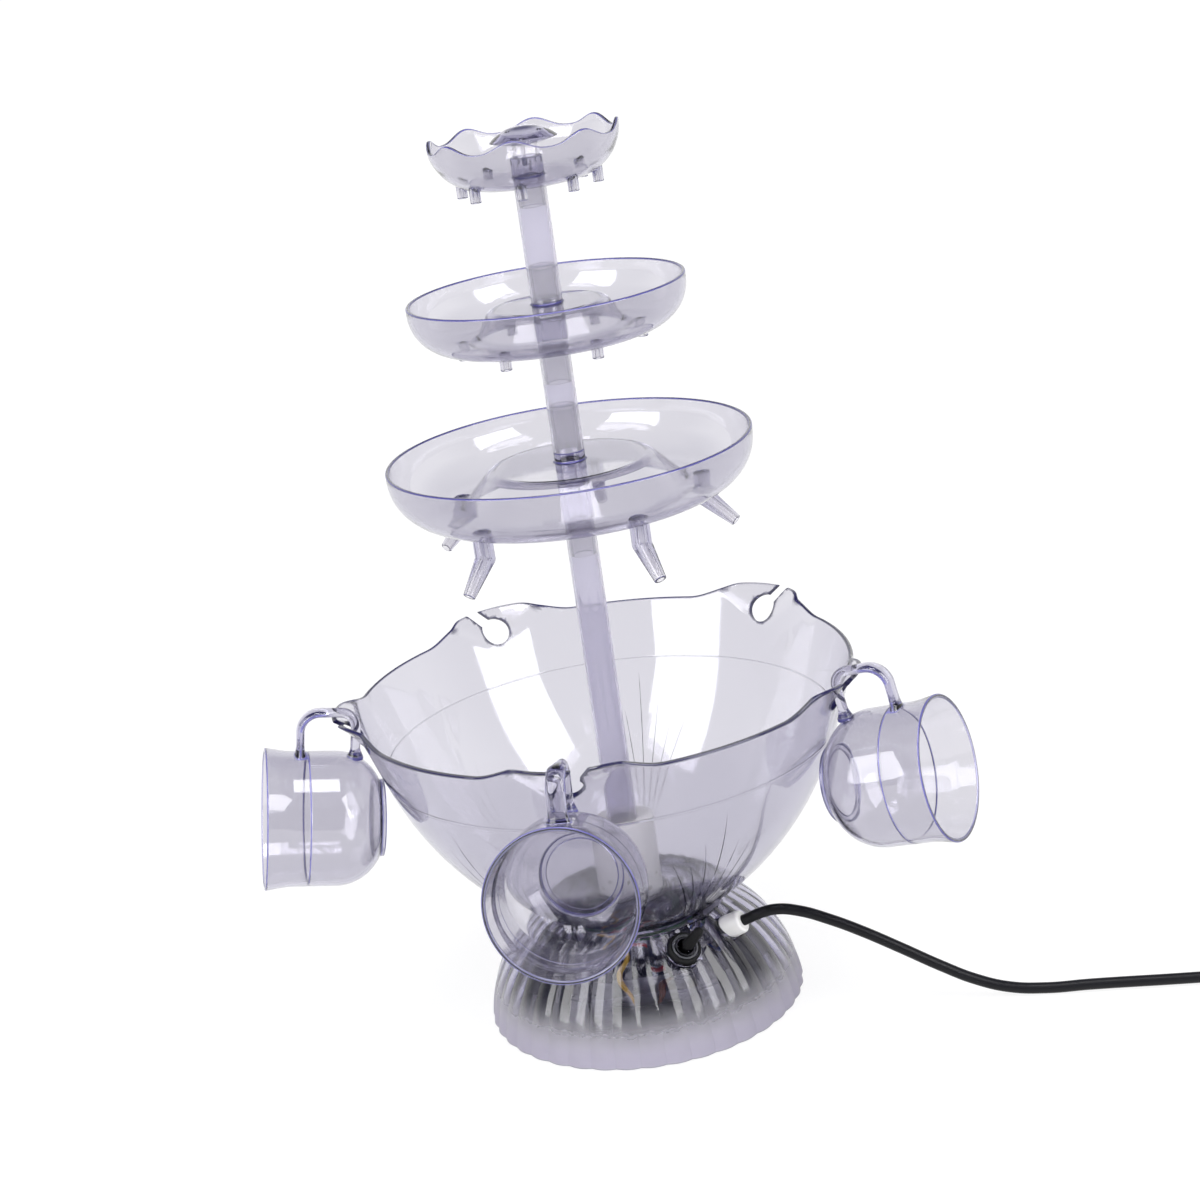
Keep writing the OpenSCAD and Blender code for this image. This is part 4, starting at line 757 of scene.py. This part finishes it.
# %% [markdown]
# ## Cups
# A cup is a turned barrel with a foot ring, a faint step round it and a flared mouth. The handle is one bent bar:
# it starts as an ellipse on the outer leg, is extruded up, spun round the two bends, and turns round as it goes
# down into the keyhole. It is joined into the wall, and the cup is laid on its hook.

# %% Cup place
TILT = math.radians(11)
CUP_Z, CUP_FOOT_R = 136.0, 21
BAR_HALF, BAR_CLEAR = 2.2, 0.7
cup_r = plain_wall(CUP_Z + CUP_FOOT_R * math.cos(TILT)) + CUP_FOOT_R * math.sin(TILT) + 0.5
leg_in = (keyhole_at - cup_r) * math.cos(TILT) + (HOLE_Z - CUP_Z) * math.sin(TILT)
rim_in = EAR_C[0] - math.sqrt((EAR_R + BOWL_WALL) ** 2 - (RIM - EAR_C[1]) ** 2)
bar_high = (RIM - CUP_Z) * math.cos(TILT) - (rim_in - cup_r) * math.sin(TILT) + BAR_CLEAR + BAR_HALF
print("cup: foot at", round(cup_r, 2), "inner leg", round(leg_in, 2), "bar", round(bar_high, 2))

# %% Cup handle tools
def corners(ring):
    """The points of a ring of edges."""
    return list({v for e in ring for v in e.verts})


def widen(bm, verts, thick, wide):
    """Scales a ring about its middle: thick in the handle's plane, wide across it."""
    middle = sum((v.co for v in verts), Vector()) / len(verts)
    bmesh.ops.scale(bm, verts=verts, vec=(thick, wide, thick), space=Matrix.Translation(-middle))


def grow(bm, ring, move, stretch=1.0):
    """Extrudes a ring of edges, moves the new ring in millimetres and widens it."""
    made = bmesh.ops.extrude_edge_only(bm, edges=ring)["geom"]
    verts = [g for g in made if isinstance(g, bmesh.types.BMVert)]
    bmesh.ops.translate(bm, verts=verts, vec=Vector(move) * MM)
    widen(bm, verts, stretch, stretch)
    return [g for g in made if isinstance(g, bmesh.types.BMEdge) and all(v in verts for v in g.verts)]


def bend(bm, ring, x, z):
    """Spins a ring of edges by a quarter turn about a point in the handle's plane and gives back the last ring."""
    made = bmesh.ops.spin(bm, geom=corners(ring) + ring, cent=Vector((x, 0, z)) * MM, axis=(0, 1, 0),
                          angle=-math.pi / 2, steps=12)
    return [g for g in made["geom_last"] if isinstance(g, bmesh.types.BMEdge)]

# %% Cup handle
LEG_OUT, LEG_FOOT = 45.4, 34.9
OUTER_BEND, INNER_BEND = 10.4, 8
CUP_WALL_R = 36.4
BAR_STEPS = 6


def handle():
    """The bent bar, in the cup's own plane: X from foot to mouth, Z up."""
    bm = bmesh.new()
    bmesh.ops.create_circle(bm, segments=32, radius=MM, matrix=Matrix.Translation((LEG_OUT * MM, 0, LEG_FOOT * MM))
                            @ Matrix.Diagonal((3.4, 7.0, 1, 1)))
    ring = bm.edges[:]
    for rise, size in ((1.6, 0.86), (1.6, 0.9), (2.2, 0.92), (3.0, 0.97)):
        ring = grow(bm, ring, (0, 0, rise), size)
    ring = grow(bm, ring, (0, 0, bar_high - OUTER_BEND - LEG_FOOT - 8.4))
    ring = bend(bm, ring, LEG_OUT - OUTER_BEND, bar_high - OUTER_BEND)
    run = (LEG_OUT - OUTER_BEND - leg_in - INNER_BEND) / BAR_STEPS
    for _ in range(BAR_STEPS):
        ring = grow(bm, ring, (-run, 0, 0))
        widen(bm, corners(ring), 1.02, 0.9)
    ring = bend(bm, ring, leg_in + INNER_BEND, bar_high - INNER_BEND)
    down = bar_high - INNER_BEND - CUP_WALL_R
    ring = grow(bm, ring, (0, 0, -(down - 3.4)))
    for fall, size in ((1.6, 1.18), (1.6, 1.2), (1.2, 1.18), (1.4, 1.0)):
        ring = grow(bm, ring, (0, 0, -fall), size)
    bmesh.ops.holes_fill(bm, edges=bm.edges, sides=64)
    bmesh.ops.recalc_face_normals(bm, faces=bm.faces)
    return bm

# %% Cups
def cup_body():
    """The barrel: foot ring, rounded lower wall, a fine step, flared mouth."""
    step = [(CUP_WALL_R, 40.4), (36.1, 40.8), (36.1, 41.2), (CUP_WALL_R, 41.6)]
    outside = arc((10.4, 26), 26, -65.93, 0, 22) + step + [(CUP_WALL_R, 52), (38.4, 64)]
    inside = [(36.2, 64), (34.2, 52)] + arc((10.4, 26), 23.8, 0, -64.06, 22)
    n = len(outside)
    return turned([(0, 2), (18, 2), (18, 0), (CUP_FOOT_R, 0)] + outside + inside + [(0, 4.6)],
                  rounds=[(2, 0.6), (3, 0.6), (n + 2, 3), (n + 3, 0.95), (n + 4, 0.95), (n + 5, 3)],
                  steps=160, closed=False)


# The cups' lips take a blue-violet edge colour: partly dye, partly a painted outline.
clear_cup = clear_polystyrene("clear_polystyrene_cup", edge="#716ebc")
for name, az in (("cup_left", -HOOK_STEP), ("cup_front", 0), ("cup_right", HOOK_STEP)):
    cup = combined("UNION", moved(cup_body(), Matrix.Rotation(math.pi / 2, 4, "Y")), handle())
    hang = outward(az, cup_r, CUP_Z) @ Matrix.Rotation(-TILT, 4, "Y")
    piece("hanging_" + name, moved(cup, hang), clear_cup, "clear_plastic", name)

# %% [markdown]
# ## Finishes of the working parts
# Inside the base and the bowl sit a white pump, a steel motor, a transformer, a ring of lamps and a toggle switch.
# Their finishes are ordinary: moulded polypropylene and ABS, drawn steel, varnished laminations, a glass-fibre
# board. One recipe serves the opaque plastics, and metals get a fine brushed grain along one direction.

# %% Plastics and rubber
# White polypropylene: soft gloss, faintly waxy and warm.
white_pp = plain_moulded("white_polypropylene", "#f9f8f6", 0.32, grain_mm=2.0, drift="#e6e4e2")
# Black ABS: satin, with the fine spark texture of its mould.
black_abs = plain_moulded("black_abs", "#0c0c0e", 0.5, grain_mm=0.7, relief_mm=0.04, drift="#17171a", shine=0.12)
# Grey nylon: dark, slightly glossy washer.
grey_nylon = plain_moulded("grey_nylon", "#34353a", 0.3, grain_mm=1.0, drift="#28292e")
# Dark grey polystyrene sheet: the base plate, matt, so the base looks dark behind its flutes.
grey_plate = plain_moulded("dark_grey_polystyrene", "#1c1c20", 0.55, grain_mm=0.9, relief_mm=0.05,
                           drift="#2c2c32", shine=0.12)
# Black rubber: dull, with dust in its pores.
black_rubber = plain_moulded("black_rubber", "#131314", 0.6, grain_mm=0.9, relief_mm=0.06, drift="#222225", shine=0.2)
# Milky epoxy of the lamps: white, with a slight depth.
lamp_epoxy = plain_moulded("milky_lamp_epoxy", "#f4f2ea", 0.12, grain_mm=1.5, drift="#e3dfcf", coat=0.4)
# Wire insulation: coloured PVC with a slight shine.
pvc = {name: plain_moulded(name + "_pvc", colour, 0.35, grain_mm=1.2, drift=drift) for name, colour, drift in (
    ("red", "#b3201f", "#7d1314"), ("yellow", "#e0b32c", "#b88a1c"), ("brown", "#6e4328", "#4c2c19"),
    ("blue", "#2b4fa0", "#1b3372"))}

# %% Metals
def drawn_metal(name, colour, rough, pitch_mm, stretch, tarnish):
    """Metal with a grain: noise stretched along one axis varies its roughness and its relief."""
    material, tree, place = blank(name)
    along = put(tree, "Mapping", {"Scale": stretch, "Vector": place}).outputs["Vector"]
    grain = noise(tree, along, pitch_mm, 3.0)
    shade = blend(tree, remap(tree, noise(tree, place, 7, 3.0), 0.45, 0.75, 0.0, 0.6), colour, tarnish)
    gloss = remap(tree, grain, 0.3, 0.7, rough - 0.06, rough + 0.1)
    skin = put(tree, "BsdfPrincipled", {"Metallic": 1.0, "Base Color": shade, "Roughness": gloss,
                                        "Normal": relief(tree, grain, 0.02, 0.5)})
    put(tree, "OutputMaterial", {"Surface": skin.outputs["BSDF"]})
    return material


# Zinc-plated steel: bright, with the fine marks of drawing and a breath of dullness.
steel = drawn_metal("zinc_plated_steel", "#d6d6da", 0.22, 0.5, (1, 1, 0.08), "#a9a8ae")
# Blackened steel: the threaded neck of the switch.
black_oxide = drawn_metal("black_oxide_steel", "#2b2b2e", 0.3, 0.5, (1, 1, 0.08), "#1c1c1e")
# Core steel: stacked sheets half a millimetre thick, seen on edge as fine lines.
laminated = drawn_metal("laminated_core_steel", "#b8b8bd", 0.3, 0.5, (0.06, 0.06, 1), "#7c7a7c")
# Nickel-plated brass: the plug's pins.
nickel = drawn_metal("nickel_plated_brass", "#cfc9b8", 0.2, 0.4, (1, 0.1, 1), "#a59a78")
# Brass: the switch's terminals.
brass = drawn_metal("brass", "#c9a24a", 0.25, 0.4, (1, 1, 0.1), "#8f7030")

# %% Board
def board_finish(name):
    """Green glass-fibre board: solder mask over copper rings, with the weave showing through."""
    material, tree, place = blank(name)
    weave = put(tree, "TexChecker", {"Scale": per(0.8), "Vector": place}).outputs["Fac"]
    flat = put(tree, "Mapping", {"Scale": (1, 1, 0), "Vector": place}).outputs["Vector"]
    rings = put(tree, "TexWave", {"Scale": per(4.6) / 10, "Distortion": 0.6, "Vector": flat},
                wave_type="RINGS", rings_direction="Z").outputs["Fac"]
    track = remap(tree, rings, 0.62, 0.68)
    skin = put(tree, "BsdfPrincipled", {
        "Base Color": blend(tree, track, "#1f4a2c", "#3d7a48"),
        "Roughness": remap(tree, weave, to_min=0.3, to_max=0.4), "Normal": relief(tree, track, 0.03, 0.5)})
    put(tree, "OutputMaterial", {"Surface": skin.outputs["BSDF"]})
    return material


green_board = board_finish("green_glass_fibre_board")
print("materials:", len(bpy.data.materials))

# %% [markdown]
# ## Working parts
# The solids of these parts already have the right shape, but every edge is knife sharp. A copy of each is merged,
# flat triangles are dissolved into whole faces, and its sharp edges are bevelled, so they catch light as moulded,
# turned or stamped edges do.

# %% Softened copies
FLAT, SHARP, SHORT_EDGE = math.radians(0.6), math.radians(35), 0.06


def softened(node, width):
    """A merged copy of a solid with its sharp edges rounded by width millimetres."""
    bm = bmesh.new()
    bm.from_mesh(frame["nodes"][node].data)
    bmesh.ops.remove_doubles(bm, verts=bm.verts, dist=1e-6)
    bmesh.ops.dissolve_limit(bm, angle_limit=FLAT, verts=bm.verts, edges=bm.edges)
    # a bevel can be no wider than the shortest edge allows, so the shortest ones go first
    bmesh.ops.dissolve_degenerate(bm, dist=SHORT_EDGE * MM, edges=bm.edges)
    edges = [e for e in bm.edges if e.is_manifold and e.calc_face_angle() > SHARP]
    bmesh.ops.bevel(bm, geom=edges, offset=width * MM, affect="EDGES", segments=2, profile=0.5, material=-1,
                    clamp_overlap=True)
    return mended(bm)


for node, width, finish, slot in (
        ("base_plate", 0.4, grey_plate, "grey_plastic"), ("rubber_feet", 0.7, black_rubber, "black_rubber"),
        ("dark_panels", 0.2, black_abs, "black_plastic"), ("shaft_seal", 0.3, black_rubber, "black_rubber"),
        ("motor_can", 1.0, steel, "bright_steel"), ("motor_end_cap", 0.8, black_abs, "black_plastic"),
        ("motor_bracket", 0.3, steel, "bright_steel"), ("motor_screws", 0.3, steel, "bright_steel"),
        ("drive_shaft", 0.3, steel, "bright_steel"), ("impeller", 0.3, white_pp, "white_plastic"),
        ("pump_cover", 0.6, white_pp, "white_plastic"), ("light_board", 0.15, green_board, "board"),
        ("lamps", 0.2, lamp_epoxy, "lamp_epoxy"), ("transformer_core", 0.25, laminated, "bright_steel"),
        ("transformer_coil", 1.2, black_abs, "black_plastic"), ("switch_body", 0.5, black_abs, "black_plastic"),
        ("switch_terminals", 0.2, brass, "brass"), ("switch_frame", 0.2, steel, "bright_steel"),
        ("switch_bushing", 0.3, black_oxide, "bright_steel"), ("switch_washer", 0.3, grey_nylon, "grey_plastic"),
        ("switch_collar", 0.4, black_rubber, "black_rubber"),
        ("cord_tie", 0.3, black_abs, "black_plastic"), ("plug_body", 2.0, black_abs, "black_plastic"),
        ("plug_pins", 0.7, nickel, "brass"), ("plate_screws", 0.3, steel, "bright_steel"),
        ("toggle_lever", 0.5, black_rubber, "black_rubber")):
    piece("soft_" + node, softened(node, width), finish, slot, node)
# The bush of the cord is a short round cap with well rounded ends.
bush = moved(rod(6.9, -9, 3.4, tip=6.4, soft=1.5), bush_at)
piece("soft_cord_bush", bush, white_pp, "white_plastic", "cord_bush")

# %% [markdown]
# ## Wires
# Four insulated wires join the switch, the transformer, the lamps and the motor. They are thin tubes, so a curve
# with a round bevel through the same points as the solids is enough.

# %% Wires
WIRE_R = 0.9
TERMINAL_DEPTH = 1.4 - 6 - 1 - 14 - 4 - WIRE_R
TERMINAL_STEP = 17 / 3
COIL_OUT, COIL_TOP = 46 + (20 + 32) / 4, 4 + 24 - 6 + WIRE_R


def terminal(s):
    """The end of a switch terminal, s thirds of the switch's length to the side."""
    turn = math.radians(SWITCH_AZ)
    side = Vector((math.cos(turn), math.sin(turn), 0)) * s * TERMINAL_STEP * MM
    return bearing(SWITCH_AZ, arc_r(DOME_C, DOME_R, FITTINGS_Z) + TERMINAL_DEPTH * math.cos(SWITCH_RISE),
                   FITTINGS_Z + TERMINAL_DEPTH * math.sin(SWITCH_RISE)) + side


def along(*points):
    return [bearing(*p) for p in points]


wires = {
    "red": [terminal(-1)]
           + along((22, 40, 34.1), (13, 42, 43), (13, 47, 51), (8, 45, 52), (0, 40, 50), (-5, 35.9, 49.8)),
    "yellow": along((1, COIL_OUT, COIL_TOP), (0, 59.5, 28), (-3, 57, 40), (0, 50, 50), (-8, 45, 51), (-16, 40, 50),
                    (-20, 35.9, 49.8)),
    "brown": along((18, COIL_OUT, COIL_TOP), (19, 59, 27.5), (20, 55, 31), (24, 48.1, 31.1), (29, 44.3, 31.6))
             + [terminal(0)],
    "blue": along((60, 35.9, 49.8), (62, 41, 49), (70, 43, 38), (78, 36, 20), (80, 26, 11), (80, 16.9, 12))}
for colour, points in wires.items():
    lead("lead_" + colour, points, WIRE_R, 3, 12, pvc[colour], colour + "_wire", "wire_" + colour)

# %% [markdown]
# ## Floor, light and background
# Clear plastic is mostly seen by what stands behind it, so the studio matters as much as the material. A pale floor
# runs to the horizon and shows white, while its diffuse part still takes the object's shadow. Two soft boxes in
# front and one above give the white windows on the plastic, and the dark room in front of the paper and over it
# gives the edges their outline.

# %% Floor
floor_bm = bmesh.new()
bmesh.ops.create_circle(floor_bm, cap_ends=True, segments=64, radius=40)
floor_mesh = bpy.data.meshes.new("floor")
floor_bm.to_mesh(floor_mesh)
floor_bm.free()
paper, tree, place = blank("white_paper_floor")
rays = put(tree, "LightPath").outputs
seen = calc(tree, "ADD", rays["Is Camera Ray"], rays["Is Transmission Ray"], clamp=True)
seen = calc(tree, "ADD", seen, rays["Is Glossy Ray"], clamp=True)
far = put(tree, "VectorMath", {0: place}, operation="LENGTH").outputs["Value"]
level = calc(tree, "MULTIPLY", seen, remap(tree, far, 0.3, 2.5, 0.87, 0.98, smooth=True))
sheet = put(tree, "BsdfDiffuse", {"Color": blend(tree, seen, "#e4e4e6", "#747476")})
glow = put(tree, "Emission", {"Color": "#ffffff", "Strength": level})
both = put(tree, "AddShader", {0: sheet.outputs["BSDF"], 1: glow.outputs["Emission"]})
put(tree, "OutputMaterial", {"Surface": both.outputs["Shader"]})
floor_mesh.materials.append(paper)
floor = bpy.data.objects.new("floor", floor_mesh)
bpy.context.scene.collection.objects.link(floor)
print("floor:", paper.name)

# %% Lamps
LAMPS_AIM = Vector((0, 0, 0.22))
for name, spot, size, watts in (("left_soft_box", (-0.94, -1.17, 1.05), (1.1, 1.4), 25.0),
                                ("right_soft_box", (1.3, -0.75, 1.05), (0.95, 1.4), 22.0),
                                ("top_soft_box", (0.1, -0.35, 1.95), (0.8, 0.8), 15.0)):
    data = bpy.data.lights.new(name, "AREA")
    data.shape, data.size, data.size_y, data.energy = "RECTANGLE", size[0], size[1], watts
    lamp = bpy.data.objects.new(name, data)
    bpy.context.scene.collection.objects.link(lamp)
    lamp.location = spot
    lamp.rotation_euler = (LAMPS_AIM - Vector(spot)).to_track_quat("-Z", "Y").to_euler()
    lamp.visible_camera = False
print("lamps:", len(bpy.data.lights))

# %% World
world = bpy.data.worlds.new("studio")
bpy.context.scene.world = world
world.use_nodes = True
tree = world.node_tree
tree.nodes.clear()
way = put(tree, "SeparateXYZ", {"Vector": put(tree, "TexCoord").outputs["Generated"]}).outputs
rays = put(tree, "LightPath").outputs
seen = calc(tree, "ADD", rays["Is Transmission Ray"], rays["Is Glossy Ray"], clamp=True)
ceiling = remap(tree, way["Z"], 0.3, 0.7, smooth=True)
front = remap(tree, way["Y"], 0.35, -0.25, to_max=0.85, smooth=True)
dark = calc(tree, "MULTIPLY", calc(tree, "MAXIMUM", ceiling, front), seen)
level = calc(tree, "MAXIMUM", remap(tree, seen, to_min=0.4, to_max=1.0), rays["Is Camera Ray"])
air = put(tree, "Background", {"Color": blend(tree, dark, "#ffffff", "#55557a"), "Strength": level})
put(tree, "OutputWorld", {"Surface": air.outputs["Background"]})
print("world:", len(tree.nodes), "nodes")
